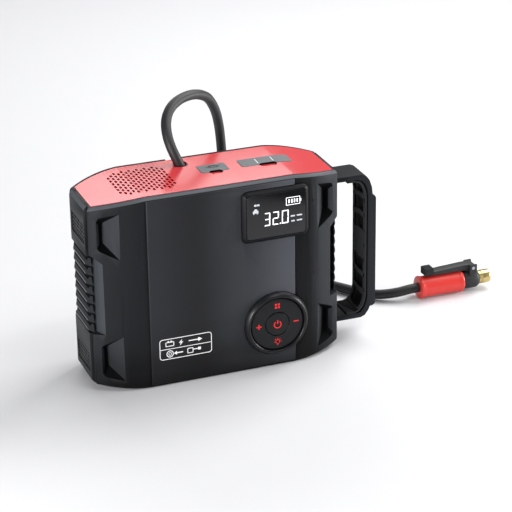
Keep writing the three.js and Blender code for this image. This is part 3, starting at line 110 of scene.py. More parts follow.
def plastic(name, colour, roughness, grain=0.03, size=GRAIN_SIZE, mottle=0.06, metal=0.0,
            specular=0.5, painted_tones=()):
    """A moulded, cast, turned or rubber finish: fine grain bump, a slight mottle and any painted
    light and shade.
    """
    material, tree, shader = new_material(name)
    coords = tree.nodes.new("ShaderNodeTexCoord")
    fine = noise(tree, coords, size, 2.0)
    wide = noise(tree, coords, MOTTLE_SIZE, 3.0)
    bump = tree.nodes.new("ShaderNodeBump")
    bump.inputs["Strength"].default_value = grain
    bump.inputs["Distance"].default_value = GRAIN_DEPTH
    rough = tree.nodes.new("ShaderNodeMapRange")
    rough.inputs["To Min"].default_value = roughness - ROUGHNESS_SPREAD
    rough.inputs["To Max"].default_value = roughness + ROUGHNESS_SPREAD
    shade = tree.nodes.new("ShaderNodeMix")
    shade.data_type = "RGBA"
    base = linear(colour)[:3]
    shade.inputs["A"].default_value = (*(c * (1 - mottle) for c in base), 1.0)
    shade.inputs["B"].default_value = (*(min(1, c * (1 + mottle)) for c in base), 1.0)
    link = tree.links.new
    link(fine, bump.inputs["Height"])
    link(wide, rough.inputs["Value"])
    link(wide, shade.inputs["Factor"])
    tint = shade.outputs["Result"]
    for axis, stops in painted_tones:
        toned = tree.nodes.new("ShaderNodeMix")
        toned.data_type = "RGBA"
        toned.blend_type = "MULTIPLY"
        toned.inputs["Factor"].default_value = 1.0
        link(tint, toned.inputs["A"])
        link(tone_along(tree, coords, axis, stops), toned.inputs["B"])
        tint = toned.outputs["Result"]
    link(tint, shader.inputs["Base Color"])
    link(rough.outputs["Result"], shader.inputs["Roughness"])
    link(bump.outputs["Normal"], shader.inputs["Normal"])
    shader.inputs["Metallic"].default_value = metal
    shader.inputs["Specular IOR Level"].default_value = specular
    return material


def glowing(name, colour, strength):
    """Lit print on the display and the keys."""
    material, _, shader = new_material(name)
    shader.inputs["Base Color"].default_value = linear(colour)
    shader.inputs["Roughness"].default_value = 0.5
    shader.inputs["Emission Color"].default_value = linear(colour)
    shader.inputs["Emission Strength"].default_value = strength
    return material


# Painted light and shade as grey levels of the front along its height and its length: painted shade
# towards the bottom, painted light on the curving ends and a painted reflection across the fascia.
LOW_PAINTED_SHADE = ("Z", [(0, 0.12), (16, 0.4), (42, 0.88), (60, 1.0)])
SHELL_PAINTED_LIGHT = ("X", [(-99, 0.66), (-93, 0.38), (-61, 0.34), (61, 0.14), (74, 0.2), (88, 1.0)])
FASCIA_PAINTED_LIGHT = ("X", [(-61.5, 0.27), (-22, 0.14), (18, 0.42), (61.5, 1.0)])

SHELL = plastic(
    "shell_moulding", 0x2B2D31, 0.5, grain=0.12, specular=0.13, painted_tones=[LOW_PAINTED_SHADE, SHELL_PAINTED_LIGHT])
# Painted light: a lighter copy of the shell's plastic on the lit ramps of the guard pockets and the
# right waist plate.
RAMP_LIGHT = plastic("pocket_ramp_painted_light", 0x303236, 0.5, grain=0.12, specular=0.2, painted_tones=[LOW_PAINTED_SHADE])
FASCIA = plastic(
    "fascia_satin", 0x45474D, 0.38, grain=0.05, specular=0.22, painted_tones=[LOW_PAINTED_SHADE, FASCIA_PAINTED_LIGHT])
RED = plastic("red_panel", 0xD23C40, 0.24, grain=0.02)
# Dark red floor under the intake holes, partly painted shade; on the walls of the holes in the red
# panel it is painted shade.
SCREEN_AND_SHADE = plastic("intake_floor_and_shade_red", 0x8E0C16, 0.7, specular=0.08)
FLAP = plastic("flap_rubber", 0x64696C, 0.62, grain=0.1)
BLACK = plastic("inner_black", 0x131416, 0.6)
END = plastic("end_moulding", 0x191B1D, 0.5, grain=0.12, specular=0.22)
# Painted highlight: a lighter grey on the rim chamfers and the fronts of the end fins, where light
# catches them.
EDGE_HIGHLIGHT = plastic("painted_edge_highlight", 0x4A4D52, 0.45, grain=0.05, specular=0.35)
# Painted shade: near black where shade falls, in the guard pockets, the end grille's holes, under
# the fin lips, behind and in the handle liner and in the flap notches.
SHADE_BLACK = plastic("painted_shade_black", 0x070809, 0.7, specular=0.05)
BASE = plastic("base_black", 0x1A1B1D, 0.65)
GLOSS = plastic("gloss_ring", 0x101114, 0.34, grain=0.0, specular=0.28)
BEZEL = plastic("bezel_black", 0x121316, 0.45, grain=0.05, specular=0.14)
KEY = plastic("key_black", 0x111214, 0.4, grain=0.05, specular=0.25)
GLASS = plastic("display_black_glass", 0x08090B, 0.07, grain=0.0, mottle=0.02)
GRIP = plastic("grip_rubber", 0x2D2E2F, 0.8, grain=0.15, specular=0.05)
STRAP = plastic("strap_moulding", 0x1F2124, 0.6, grain=0.12, specular=0.1)
# Painted light: a lighter copy of the shell's plastic on the lit left waist plate.
PLATE_LIGHT = plastic("waist_plate_painted_light", 0x3A3D41, 0.5, grain=0.12, specular=0.2)
HOSE = plastic("hose_rubber", 0x1B1B1D, 0.55, grain=0.12)
BOARD = plastic("solder_mask", 0x1E5A38, 0.45)
CELL = plastic("cell_wrap", 0x4C6F9A, 0.4)
STEEL = plastic("plain_steel", 0xA8ABAE, 0.32, metal=1.0, grain=0.04)
BRASS = plastic("turned_brass", 0xC9B47A, 0.28, metal=1.0, grain=0.04)
ALLOY = plastic("cast_alloy", 0x9A9DA1, 0.45, metal=1.0, grain=0.2, size=900.0)
NYLON = plastic("natural_nylon", 0xE3DDCB, 0.5)
LENS = plastic("lens_plastic", 0xE6EBEE, 0.2, grain=0.0)
WHITE = plastic("white_plastic", 0xE9E9E6, 0.5)
CHUCK = plastic("chuck_red", 0xC9322B, 0.36, grain=0.05)
LEAD = plastic("lead_sleeve", 0xBF2A22, 0.45)
SILICONE = plastic("key_silicone", 0x5A5C5E, 0.6)
PRINT = plastic("white_print", 0xE8E8E8, 0.55, grain=0.0)
SIGN = plastic("moulded_sign", 0x26292B, 0.6, grain=0.0, specular=0.2)
FLOOR = plastic("floor_paint", 0xD8D8DA, 0.7, grain=0.0, mottle=0.01)
LIT = glowing("lit_white", 0xF4F6F8, 0.8)
LIT_DIM = glowing("lit_dim", 0xB4B8BC, 0.35)
RED_PRINT = glowing("red_legend", 0xD0181C, 0.22)

slot_finish = {
    "shell_black": SHELL, "base_black": BASE, "fascia_satin": FASCIA, "panel_red": RED,
    "flap_grey": FLAP, "display_glass": GLASS, "inner_black": BLACK, "gloss_ring": GLOSS,
    "key_black": KEY, "nylon": NYLON, "silicone": SILICONE, "board_green": BOARD,
    "clear_lens": LENS, "white_plastic": WHITE, "grip_rubber": GRIP, "lead_red": LEAD,
    "hose_rubber": HOSE, "steel": STEEL, "alloy": ALLOY, "cell_wrap": CELL,
    "chuck_red": CHUCK, "brass": BRASS,
}
for name, node in nodes.items():
    node.data.materials.clear()
    node.data.materials.append(slot_finish[slot_of_node[name]])

# ---- Outlines ----


def corners(u0, v0, u1, v1):
    """The outline of a rectangle from two opposite corners."""
    return [(u0, v0), (u1, v0), (u1, v1), (u0, v1)]


def rect(u, v, width, height):
    return corners(u, v, u + width, v + height)


def arc_points(cx, cz, radius, start, stop, steps):
    angles = [math.radians(start + (stop - start) * i / steps) for i in range(steps + 1)]
    return [(cx + radius * math.cos(a), cz + radius * math.sin(a)) for a in angles]


def round_rect(x, z, width, height, radius):
    middles = corners(radius, radius, width - radius, height - radius)
    out = []
    for turn, (u, v) in zip((180, 270, 0, 90), middles):
        out += arc_points(x + u, z + v, radius, turn, turn + 90, 5)
    return out


def band(points, width):
    """Quads along an open line of points, as separate outlines."""
    out = []
    for (x0, z0), (x1, z1) in zip(points, points[1:]):
        length = math.hypot(x1 - x0, z1 - z0)
        nx, nz = -(z1 - z0) / length * width / 2, (x1 - x0) / length * width / 2
        out.append([(x0 + nx, z0 + nz), (x0 - nx, z0 - nz), (x1 - nx, z1 - nz), (x1 + nx, z1 + nz)])
    return out


def box_band(u0, v0, u1, v1, width, past):
    """A drawn box that ends a little past its first corner."""
    return band([(u0, v0), (u0, v1), (u1, v1), (u1, v0), (u0 - past, v0)], width)


# ---- Meshes and pieces ----

# Angles in degrees, and the distances in metres within which points are one.
EDGE_ANGLE, BEND_ANGLE, FLAT_ANGLE = 24.0, 35.0, 0.3
SEAM, CUT_DISTANCE = 2e-6, 1e-6


def in_mm(place):
    return [c / MM for c in place]


def solid_mesh(bm, name):
    """A mesh with its faces pointing out."""
    mesh = bpy.data.meshes.new(name)
    bmesh.ops.recalc_face_normals(bm, faces=bm.faces)
    bm.to_mesh(mesh)
    bm.free()
    return mesh


def prisms(name, outlines, axis, start, stop):
    """Closed prisms along one axis from outlines in the other two."""
    bm = bmesh.new()
    for outline in outlines:
        ends = []
        for w in (start, stop):
            places = [{"x": (w, u, v), "y": (u, w, v), "z": (u, v, w)}[axis] for u, v in outline]
            ends.append([bm.verts.new([c * MM for c in place]) for place in places])
        near, back = ends
        bm.faces.new(near)
        bm.faces.new(back[::-1])
        for i in range(len(near)):
            j = (i + 1) % len(near)
            bm.faces.new((near[j], near[i], back[i], back[j]))
    return solid_mesh(bm, name)


def revolve(name, profile, axis, centre, sides=64):
    """A closed solid of revolution about X or Y, from (radius, height) points."""
    bm = bmesh.new()
    rings = []
    for radius, height in profile:
        ring = []
        count = 1 if radius < 1e-6 else sides
        for i in range(count):
            a = 2 * math.pi * i / sides
            u, v = radius * math.cos(a), radius * math.sin(a)
            p = {"x": (height, u, v), "y": (u, height, v)}[axis]
            ring.append(bm.verts.new([(c + d) * MM for c, d in zip(p, centre)]))
        rings.append(ring)
    closed = rings if profile[0][0] < 1e-6 else rings + [rings[0]]
    for a, b in zip(closed, closed[1:]):
        for i in range(sides):
            j = (i + 1) % sides
            face = [a[i % len(a)], a[j % len(a)], b[j % len(b)], b[i % len(b)]]
            unique = list(dict.fromkeys(face))
            if len(unique) > 2:
                bm.faces.new(unique)
    return solid_mesh(bm, name)


def combine(mesh, operation, cutter):
    """A mesh joined with or cut by another one."""
    objects = [bpy.data.objects.new(n, m) for n, m in (("work", mesh), ("cutter", cutter))]
    for thing in objects:
        bpy.context.scene.collection.objects.link(thing)
    modifier = objects[0].modifiers.new("combine", "BOOLEAN")
    modifier.operation = operation
    modifier.solver = "EXACT"
    modifier.object = objects[1]
    graph = bpy.context.evaluated_depsgraph_get()
    out = bpy.data.meshes.new_from_object(objects[0].evaluated_get(graph))
    for thing in objects:
        bpy.data.objects.remove(thing)
    return out


def split_faces(mesh, chosen, *places):
    """Cut the faces that chosen(normal, centre) names along planes across X."""
    bm = bmesh.new()
    bm.from_mesh(mesh)
    for x in places:
        faces = [f for f in bm.faces if chosen(f.normal, f.calc_center_median())]
        edges = list(dict.fromkeys(e for f in faces for e in f.edges))
        verts = list(dict.fromkeys(v for f in faces for v in f.verts))
        bmesh.ops.bisect_plane(
            bm, geom=verts + edges + faces, dist=CUT_DISTANCE, plane_co=(x * MM, 0, 0),
            plane_no=(1, 0, 0))
    bm.to_mesh(mesh)
    bm.free()


def link_piece(name, mesh, material, body):
    """A new piece that rides on a body and has its main finish."""
    piece = bpy.data.objects.new(name, mesh)
    bpy.context.scene.collection.objects.link(piece)
    if mesh.materials:
        mesh.materials[0] = material
    else:
        mesh.materials.append(material)
    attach(piece, body)
    return piece


def soften(piece, width, angle=EDGE_ANGLE, segments=2):
    """Round the edges that turn more than an angle, and shade the rest smooth."""
    for polygon in piece.data.polygons:
        polygon.use_smooth = True
    bevel = piece.modifiers.new("bevel", "BEVEL")
    bevel.width = width * MM
    bevel.segments = segments
    bevel.limit_method = "ANGLE"
    bevel.angle_limit = math.radians(angle)
    bevel.harden_normals = True
    bevel.miter_outer = "MITER_ARC"


def smooth_flats(piece):
    """Shade smooth, with sharp edges where faces turn more than a bend does."""
    for polygon in piece.data.polygons:
        polygon.use_smooth = True
    piece.data.set_sharp_from_angle(angle=math.radians(BEND_ANGLE))
    weigh = piece.modifiers.new("weigh", "WEIGHTED_NORMAL")
    weigh.keep_sharp = True


def skin(name, width, angle=EDGE_ANGLE, material=None, curved=False, work=None, merge=True):
    """A softened stand-in for a CAD node, made from the node's own faces."""
    mesh = nodes[name].data.copy()
    bm = bmesh.new()
    bm.from_mesh(mesh)
    bmesh.ops.remove_doubles(bm, verts=bm.verts, dist=SEAM)
    if curved:
        round_off(bm)
    if merge:
        bmesh.ops.dissolve_limit(
            bm, angle_limit=math.radians(FLAT_ANGLE), verts=bm.verts, edges=bm.edges)
    bmesh.ops.recalc_face_normals(bm, faces=bm.faces)
    bm.to_mesh(mesh)
    bm.free()
    mesh.validate()
    if work is not None:
        mesh = work(mesh)
    finish = material or slot_finish[slot_of_node[name]]
    piece = link_piece(f"{name}_skin", mesh, finish, body_of_node[name])
    soften(piece, width, angle)
    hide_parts(name)


def turned(name, node, profile, axis, centre, material, rounding, sides=64, angle=BEND_ANGLE):
    """A turned stand-in for a CAD node."""
    piece = link_piece(
        name, revolve(name, profile, axis, centre, sides), material, body_of_node[node])
    soften(piece, rounding, angle)
    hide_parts(node)
    return piece


def add_marks(name, outlines, axis, start, stop, material, body):
    """Printed, lit or moulded marks, a hair thick."""
    piece = link_piece(name, prisms(name, outlines, axis, start, stop), material, body)


# ---- Housing ----

# Half length, start of the taper, height and half depth. The solids' ends have flat facets in KNOTS
# parts. Here they follow the same curves in FINE steps.
BODY_END, CREASE, HIGH, HALF_DEPTH = 105.0, 61.5, 162.0, 38.0
END_NARROWING, TOP_FALL, LOW_RISE, BOW = 15, 7.5, 5.6, 3.6
KNOTS, FINE = 3, 12

# Guard pockets: their span along X, below the top or above the foot, and in depth, with the depth
# and the place along X where the painted shade starts.
POCKET_X, POCKET_DROP, POCKET_DEPTH = (81, 99), (11, 50), (0.4, 9.6)
POCKET_SPLIT, POCKET_FLOOR, POCKET_WALL = 95.2, 8.2, 92
FOOT_OFFSET = 2
WAIST_X, WAIST_Z = 94, (45, 116)
RIM_DROP, RIM_SLOPE = 4, (0.3, 0.85)


def along(x):
    """How far a place lies on the way from the straight middle to an end, from 0 to 1."""
    return max(0.0, (abs(x) - CREASE) / (BODY_END - CREASE))


def half_depth(t):
    return HALF_DEPTH - END_NARROWING * t * t


def top_height(t):
    return HIGH - TOP_FALL * t + BOW * t * (1 - t)


def low_height(t):
    return LOW_RISE * t - BOW * t * (1 - t)


def faceted(curve, t):
    """The value of a curve on the flat facets between its knots."""
    knot = min(int(t * KNOTS), KNOTS - 1)
    a, b = curve(knot / KNOTS), curve((knot + 1) / KNOTS)
    return a + (b - a) * (t * KNOTS - knot)


def round_off(bm):
    """Turn the flat facets of the tapering ends into fine steps of the true curves."""
    for side in (-1, 1):
        for i in range(FINE + 1):
            x = side * (CREASE + (BODY_END - CREASE) * i / FINE) * MM
            bmesh.ops.bisect_plane(
                bm, geom=bm.verts[:] + bm.edges[:] + bm.faces[:], dist=CUT_DISTANCE,
                plane_co=(x, 0, 0), plane_no=(1, 0, 0))
    for vert in bm.verts:
        t = min(1.0, along(vert.co.x / MM))
        if t > 0:
            vert.co.y *= half_depth(t) / faceted(half_depth, t)
            share = vert.co.z / MM / HIGH
            rise = (top_height(t) - faceted(top_height, t)) * share
            vert.co.z += (rise + (low_height(t) - faceted(low_height, t)) * (1 - share)) * MM


def pocket_depth(place):
    """How deep a place lies in a guard pocket, or 0 where there is none."""
    x, y, z = in_mm(place)
    drop = min(HIGH - z, z + FOOT_OFFSET)
    depth = half_depth(min(1, along(x))) - abs(y)
    inside = POCKET_X[0] < abs(x) < POCKET_X[1] and POCKET_DROP[0] < drop < POCKET_DROP[1]
    return depth if inside and POCKET_DEPTH[0] < depth < POCKET_DEPTH[1] else 0


def shade_rim(mesh):
    """Paint a highlight, a lighter grey, on the chamfer round the top of the housing and of its
    ends.
    """
    mesh.materials.append(EDGE_HIGHLIGHT)
    for face in mesh.polygons:
        drop = top_height(min(1.0, along(face.center.x / MM))) - face.center.z / MM
        outward = face.normal.x * face.center.x + face.normal.y * face.center.y > 0
        if RIM_SLOPE[0] < face.normal.z < RIM_SLOPE[1] and drop < RIM_DROP and outward:
            face.material_index = len(mesh.materials) - 1


def shade_shell(mesh):
    """Painted highlight on the rim, painted light on the waist plates and pocket ramps, painted
    shade in deep pockets.
    """
    shade_rim(mesh)
    split_faces(mesh, lambda _, place: pocket_depth(place), -POCKET_SPLIT, POCKET_SPLIT)
    shade_index = len(mesh.materials)
    ramp_light_index, plate_light_index = shade_index + 1, shade_index + 2
    for finish in (SHADE_BLACK, RAMP_LIGHT, PLATE_LIGHT):
        mesh.materials.append(finish)
    for face in mesh.polygons:
        x, _, z = in_mm(face.center)
        outward = face.normal.x * x
        if abs(x) > WAIST_X and WAIST_Z[0] < z < WAIST_Z[1]:
            if outward > 0 and abs(face.normal.x) > 0.8:
                face.material_index = plate_light_index if x < 0 else ramp_light_index
        depth = pocket_depth(face.center)
        if depth:
            wall = outward < 0 and POCKET_WALL < abs(x) < POCKET_SPLIT
            black = wall or depth > POCKET_FLOOR or abs(face.normal.z) > 0.3
            face.material_index = shade_index if black else ramp_light_index
    return mesh


for name in ("front_shell", "rear_shell"):
    skin(name, 0.3, curved=True, work=shade_shell)
skin("bottom_panel", 0.4, curved=True)

# ---- End panels ----

# Diamond holes in rows, the recess that holds them and the plate behind it. Places along X count
# from the middle of the housing.
DIAMOND_HALF, DIAMOND_PITCH, DIAMOND_COLUMNS = (1.5, 1.28), (3.97, 3.2), 8
RECESS_HALF, RECESS_FLOOR, PLATE_HALF, PLATE_BACK, PLATE_PAST = 16.6, 104.4, 17, 101.4, (0.9, 2.6)
HOLE_START, PAST_END, DARK_START, DARK_INSET = 100, 107, 99, 0.3
# The louvre fins: their span in height, the slope of their upper sides, the place along X up to
# which these get painted shade, their front, with a painted highlight, and the tips that are cut
# off.
FIN_Z, FIN_SLOPE, FIN_LINE, FIN_FACE, FIN_HALF = (45, 120), (0.2, 0.6), 103.85, 104.9, 25
TIP_Z, TIP_X, TIP_STARTS, TIP_WIDTH = (49, 114), (98.5, 101.6), (-24, 17), 7


def diamonds(low, high):
    """Outlines of the holes that fill a recess from low to high."""
    rows = int((high - low) / DIAMOND_PITCH[1])
    start = (low + high) / 2 - (rows - 1) * DIAMOND_PITCH[1] / 2
    a, b = DIAMOND_HALF
    out = []
    for row in range(rows):
        z = start + row * DIAMOND_PITCH[1]
        for column in range(DIAMOND_COLUMNS):
            y = (column - (DIAMOND_COLUMNS - 1) / 2) * DIAMOND_PITCH[0]
            out.append([(y - a, z), (y, z - b), (y + a, z), (y, z + b)])
    return out


def end_work(side, recesses):
    """End panel work: fine rows of holes in two recesses, shorter fin tips, painted shade and
    highlights.
    """

    def shape(mesh):
        for low, high in recesses:
            plate = corners(-PLATE_HALF, low - PLATE_PAST[0], PLATE_HALF, high + PLATE_PAST[1])
            mesh = combine(mesh, "UNION", prisms(
                "plate", [plate], "x", side * PLATE_BACK, side * BODY_END))
        floors = [corners(-RECESS_HALF, low, RECESS_HALF, high) for low, high in recesses]
        holes = [hole for low, high in recesses for hole in diamonds(low, high)]
        tips = [corners(y, TIP_Z[0], y + TIP_WIDTH, TIP_Z[1]) for y in TIP_STARTS]
        for outlines, start, stop in (
            (floors, RECESS_FLOOR, PAST_END), (holes, HOLE_START, PAST_END), (tips, *TIP_X),
        ):
            cutter = prisms("cutter", outlines, "x", side * start, side * stop)
            mesh = combine(mesh, "DIFFERENCE", cutter)
        return mesh

    def on_slope(normal, place):
        sloping = normal.x * side > 0.7 and FIN_SLOPE[0] < normal.z < FIN_SLOPE[1]
        return sloping and FIN_Z[0] < place.z / MM < FIN_Z[1]

    def work(mesh):
        mesh = shape(mesh)
        shade_rim(mesh)
        split_faces(mesh, on_slope, side * FIN_LINE)
        highlight_index = len(mesh.materials) - 1
        mesh.materials.append(SHADE_BLACK)
        # Painted shade on the hole walls and under the fin lips, and a painted highlight on the fin
        # fronts.
        for face in mesh.polygons:
            x, y, z = in_mm(face.center)
            inside = (any(low + DARK_INSET < z < high - DARK_INSET for low, high in recesses)
                      and abs(y) < RECESS_HALF - DARK_INSET)
            hole = inside and abs(face.normal.x) < 0.5 and abs(x) > DARK_START
            fin_front = (abs(x) > FIN_FACE and abs(face.normal.x) > 0.98
                         and FIN_Z[0] < z < FIN_Z[1] and abs(y) < FIN_HALF)
            if hole or (on_slope(face.normal, face.center) and abs(x) < FIN_LINE):
                face.material_index = highlight_index + 1
            elif fin_front:
                face.material_index = highlight_index
        return mesh

    return work


for name, side, recesses in (("left_end_panel", -1, ((12.9, 29.1), (122.8, 139.2))),
                             ("right_end_panel", 1, ((23.6, 39.8), (120.4, 136.6)))):
    skin(name, 0.14, angle=14, material=END, work=end_work(side, recesses), curved=True)

# ---- Handle, with painted shade in its liner, and other pieces that only need softer edges ----

ARM_END, HANDLE_MIDDLE, WINDOW_X, WINDOW_Z = 122, (118, 80), 120, (20, 145)


def shade_inside(mesh):
    """Paint shade, near black, on the strap's inner face behind the pierced liner."""
    mesh.materials.append(SHADE_BLACK)
    for face in mesh.polygons:
        x, _, z = in_mm(face.center)
        away = face.normal.x * (x - HANDLE_MIDDLE[0]) + face.normal.z * (z - HANDLE_MIDDLE[1])
        if x > ARM_END and away < 0 and abs(face.normal.y) < 0.5:
            face.material_index = 1
    return mesh


def shade_windows(mesh):
    """Paint shade, near black, on the walls of the liner's openings."""
    mesh.materials.append(SHADE_BLACK)
    side_face = max(abs(v.co.y) for v in mesh.vertices) / MM - 0.3
    for face in mesh.polygons:
        x, y, z = in_mm(face.center)
        wall = abs(y) < side_face and abs(face.normal.x) < 0.4
        if wall and x > WINDOW_X and WINDOW_Z[0] < z < WINDOW_Z[1]:
            face.material_index = 1
    return mesh


skin("handle_strap", 0.8, material=STRAP, work=shade_inside)
skin("handle_pad", 0.25, work=shade_windows, merge=False)
skin("display_bezel", 0.5, material=BEZEL)
for name, width in (
    ("front_fascia", 0.35), ("display_glass", 0.25), ("chuck_lever", 0.5), ("chuck_head", 0.4),
    ("hose_gland", 0.4), ("lamp_lens", 0.3),
):
    skin(name, width)

# ---- Plates that follow the housing's top, built in strips along X ----

# Stations along X of the ends' curves, and the distance within which two places are one.
STATION_PITCH = 1.45
STATIONS = [CREASE + i * STATION_PITCH for i in range(31)]
NEAR = 1e-3


def pieces_of(points):
    """Trapezoids (x0, low0, high0, x1, low1, high1) between points (x, low, high)."""
    return [(*a, *b) for a, b in zip(points, points[1:]) if b[0] > a[0] + 1e-6]


def with_middle(points, middle):
    """Trapezoids of a box with more points put in the middle of its length."""
    half = len(points) // 2
    return pieces_of(points[:half] + middle + points[half:])


def round_box(left, front, width, depth, radius, steps=4):
    """Points (x, low, high) of a rectangle with round corners in plan."""
    out = []
    for i in range(steps + 1):
        a = math.pi / 2 * i / steps
        out.append((left + radius * (1 - math.cos(a)), radius * (1 - math.sin(a))))
    right = [(2 * left + width - x, inset) for x, inset in out[::-1]]
    return [(x, front + inset, front + depth - inset) for x, inset in out + right]


def stations_for(outline, holes):
    """Places along X where an outline turns, with the stations of the housing's ends."""
    turns = {round(x, 4) for group in [outline, *holes] for p in group for x in (p[0], p[3])}
    turns |= {round(side * x, 4) for side in (-1, 1) for x in STATIONS}
    first, last = outline[0][0], outline[-1][3]
    out = []
    for x in sorted(turns):
        if first - 1e-6 <= x <= last + 1e-6 and (not out or x - out[-1] > NEAR):
            out.append(x)
    return out


def y_range(group, a, b):
    """Low and high Y of trapezoids at a and at b, or None where there are none between them."""
    for x0, low0, high0, x1, low1, high1 in group:
        if x0 < (a + b) / 2 < x1:
            shares = [(x - x0) / (x1 - x0) for x in (a, b)]
            return [(low0 + (low1 - low0) * s, high0 + (high1 - high0) * s) for s in shares]
    return None


def solid_spans(outline, holes, a, b):
    """Spans of Y between the holes, each end as (Y at a, Y at b, whether it is the rim)."""
    (low_a, high_a), (low_b, high_b) = y_range(outline, a, b)
    spans, start = [], (low_a, low_b, True)
    cuts = sorted(filter(None, (y_range(hole, a, b) for hole in holes)),
                  key=lambda cut: cut[0][0] + cut[1][0])
    for (cut_low_a, cut_high_a), (cut_low_b, cut_high_b) in cuts:
        spans.append((start, (cut_low_a, cut_low_b, False)))
        start = (cut_high_a, cut_high_b, False)
        if cut_high_a >= high_a and cut_high_b >= high_b:
            return spans
    return [*spans, (start, (high_a, high_b, True))]


def strip_plate(name, outline, holes, rise, sink, edge=0.0, edge_drop=0.0):
    """A closed plate in strips, from sink below the housing's top to rise above it.

    Its rim falls by edge_drop over a band as wide as edge.
    """
    xs = stations_for(outline, holes)
    strips = [solid_spans(outline, holes, a, b) for a, b in zip(xs, xs[1:])]
    bm = bmesh.new()
    made = {}

    def kind_of(is_rim):
        return "edge" if is_rim and edge else "top"

    def vert(x, y, kind):
        key = (round(x, 3), round(y, 3), kind)
        if key not in made:
            base = top_height(along(x))
            z = base - sink if kind == "low" else base + rise - (edge_drop if kind == "edge" else 0)
            made[key] = bm.verts.new((x * MM, y * MM, z * MM))
        return made[key]

    def face(points):
        unique = list(dict.fromkeys(points))
        if len(unique) > 2:
            bm.faces.new(unique)

    def lines(i, side):
        """Solid spans of Y on one side of station i, with the kind of each end."""
        if not 0 <= i < len(strips):
            return []
        return [((s[side], s[2]), (e[side], e[2])) for s, e in strips[i]]

    def needed(i):
        """All places in Y where station i needs a vertex."""
        out = {}
        for spans in (lines(i - 1, 1), lines(i, 0)):
            for (y0, rim0), (y1, rim1) in spans:
                out[round(y0, 3)] = rim0
                out[round(y1, 3)] = rim1
                if rim0 and edge:
                    out[round(y0 + edge, 3)] = False
                if rim1 and edge:
                    out[round(y1 - edge, 3)] = False
        return out

    stations = [needed(i) for i in range(len(xs))]

    def column(i, y0, y1):
        """Places of the upper side along station i from y0 to y1, with their kinds."""
        inside = sorted(y for y in stations[i] if y0 - NEAR <= y <= y1 + NEAR)
        return [(y, stations[i][y]) for y in inside]

    def wall(i, left, right):
        """The side of a strip, from the upper side down, between two places."""
        face([vert(xs[i], left[0], kind_of(left[1])),
              vert(xs[i + 1], right[0], kind_of(right[1])),
              vert(xs[i + 1], right[0], "low"), vert(xs[i], left[0], "low")])

    for i, spans in enumerate(strips):
        for (a0, b0, rim0), (a1, b1, rim1) in spans:
            left, right = column(i, a0, a1), column(i + 1, b0, b1)
            rows = [(a0, b0), (a1, b1)]
            if rim0 and edge:
                rows.insert(1, (a0 + edge, b0 + edge))
            if rim1 and edge:
                rows.insert(-1, (a1 - edge, b1 - edge))
            for (ya, yb), (yc, yd) in zip(rows, rows[1:]):
                near = [vert(xs[i], y, kind_of(r)) for y, r in left if ya - NEAR <= y <= yc + NEAR]
                back = [vert(xs[i + 1], y, kind_of(r)) for y, r in right
                        if yb - NEAR <= y <= yd + NEAR]
                face(near[::-1] + back)
            face([vert(xs[i], y, "low") for y, _ in left]
                 + [vert(xs[i + 1], y, "low") for y, _ in right][::-1])
            wall(i, left[0], right[0])
            wall(i, left[-1], right[-1])
    for i, kinds in enumerate(stations):
        order = sorted(kinds)
        for y0, y1 in zip(order, order[1:]):
            mid = (y0 + y1) / 2
            before = any(s[0] < mid < e[0] for s, e in lines(i - 1, 1))
            after = any(s[0] < mid < e[0] for s, e in lines(i, 0))
            if before != after:
                face([vert(xs[i], y0, kind_of(kinds[y0])), vert(xs[i], y1, kind_of(kinds[y1])),
                      vert(xs[i], y1, "low"), vert(xs[i], y0, "low")])
    return solid_mesh(bm, name)


# ---- Top panel ----

PANEL_END, PANEL_INSET, PANEL_DEPTH = 99.9, 4.15, 3.0
# Flaps: left end and width, then the span of the finger scoop in front of them.
FLAPS = {"jump_flap": (-3.5, 22.9, 2.0, 13.9), "usb_flap": (30.5, 42.0, 43.9, 59.5)}
FLAP_FRONT, FLAP_DEPTH, FLAP_RADIUS, FLAP_GAP = -5.1, 15.5, 1.6, 0.35
SCOOP_REACH, SCOOP_LEAN = 4.05, 2
HOSE_NOTCH = (-18.4, 14.5, 11.4, 12.2, 4.0, 6)
INTAKE_X, INTAKE_PITCH, INTAKE_COLUMNS, INTAKE_ROW = -73.8, 3.143, 15, 6.35
INTAKE_HALF, INTAKE_FLAT = (0.95, 2.15), (0.5, 1.6)
INTAKE_ZONE = (-76, -27, 25)
INTAKE_FLOOR, FLOOR_DROP = (-76.5, -27, 25.5), 0.7


def seat_box(left, width):
    return round_box(left - FLAP_GAP, FLAP_FRONT - FLAP_GAP, width + 2 * FLAP_GAP,
                     FLAP_DEPTH + 2 * FLAP_GAP, FLAP_RADIUS + FLAP_GAP)


def flap_opening(left, width, scoop_left, scoop_right):
    """The hole in the top panel for a flap's seat and its finger scoop."""
    front, back = FLAP_FRONT - FLAP_GAP, FLAP_FRONT + FLAP_DEPTH + FLAP_GAP
    scoop = [(scoop_left, front, back), (scoop_left + SCOOP_LEAN, front - SCOOP_REACH, back),
             (scoop_right - SCOOP_LEAN, front - SCOOP_REACH, back), (scoop_right, front, back)]
    return with_middle(seat_box(left, width), scoop)


def intake_holes():
    """Slim holes in staggered columns, 8 and 7 by turns, with 6 in the outer columns."""
    (half_x, half_y), (flat_x, flat_y) = INTAKE_HALF, INTAKE_FLAT
    out = []
    for column in range(INTAKE_COLUMNS):
        x = INTAKE_X + column * INTAKE_PITCH
        at_end = column in (0, INTAKE_COLUMNS - 1)
        count = 7 if column % 2 else (6 if at_end else 8)
        for row in range(count):
            y = 0.1 + (row - (count - 1) / 2) * INTAKE_ROW
            out.append(pieces_of(
                [(x - half_x, y - flat_y, y + flat_y), (x - flat_x, y - half_y, y + half_y),
                 (x + flat_x, y - half_y, y + half_y), (x + half_x, y - flat_y, y + flat_y)]))
    return out


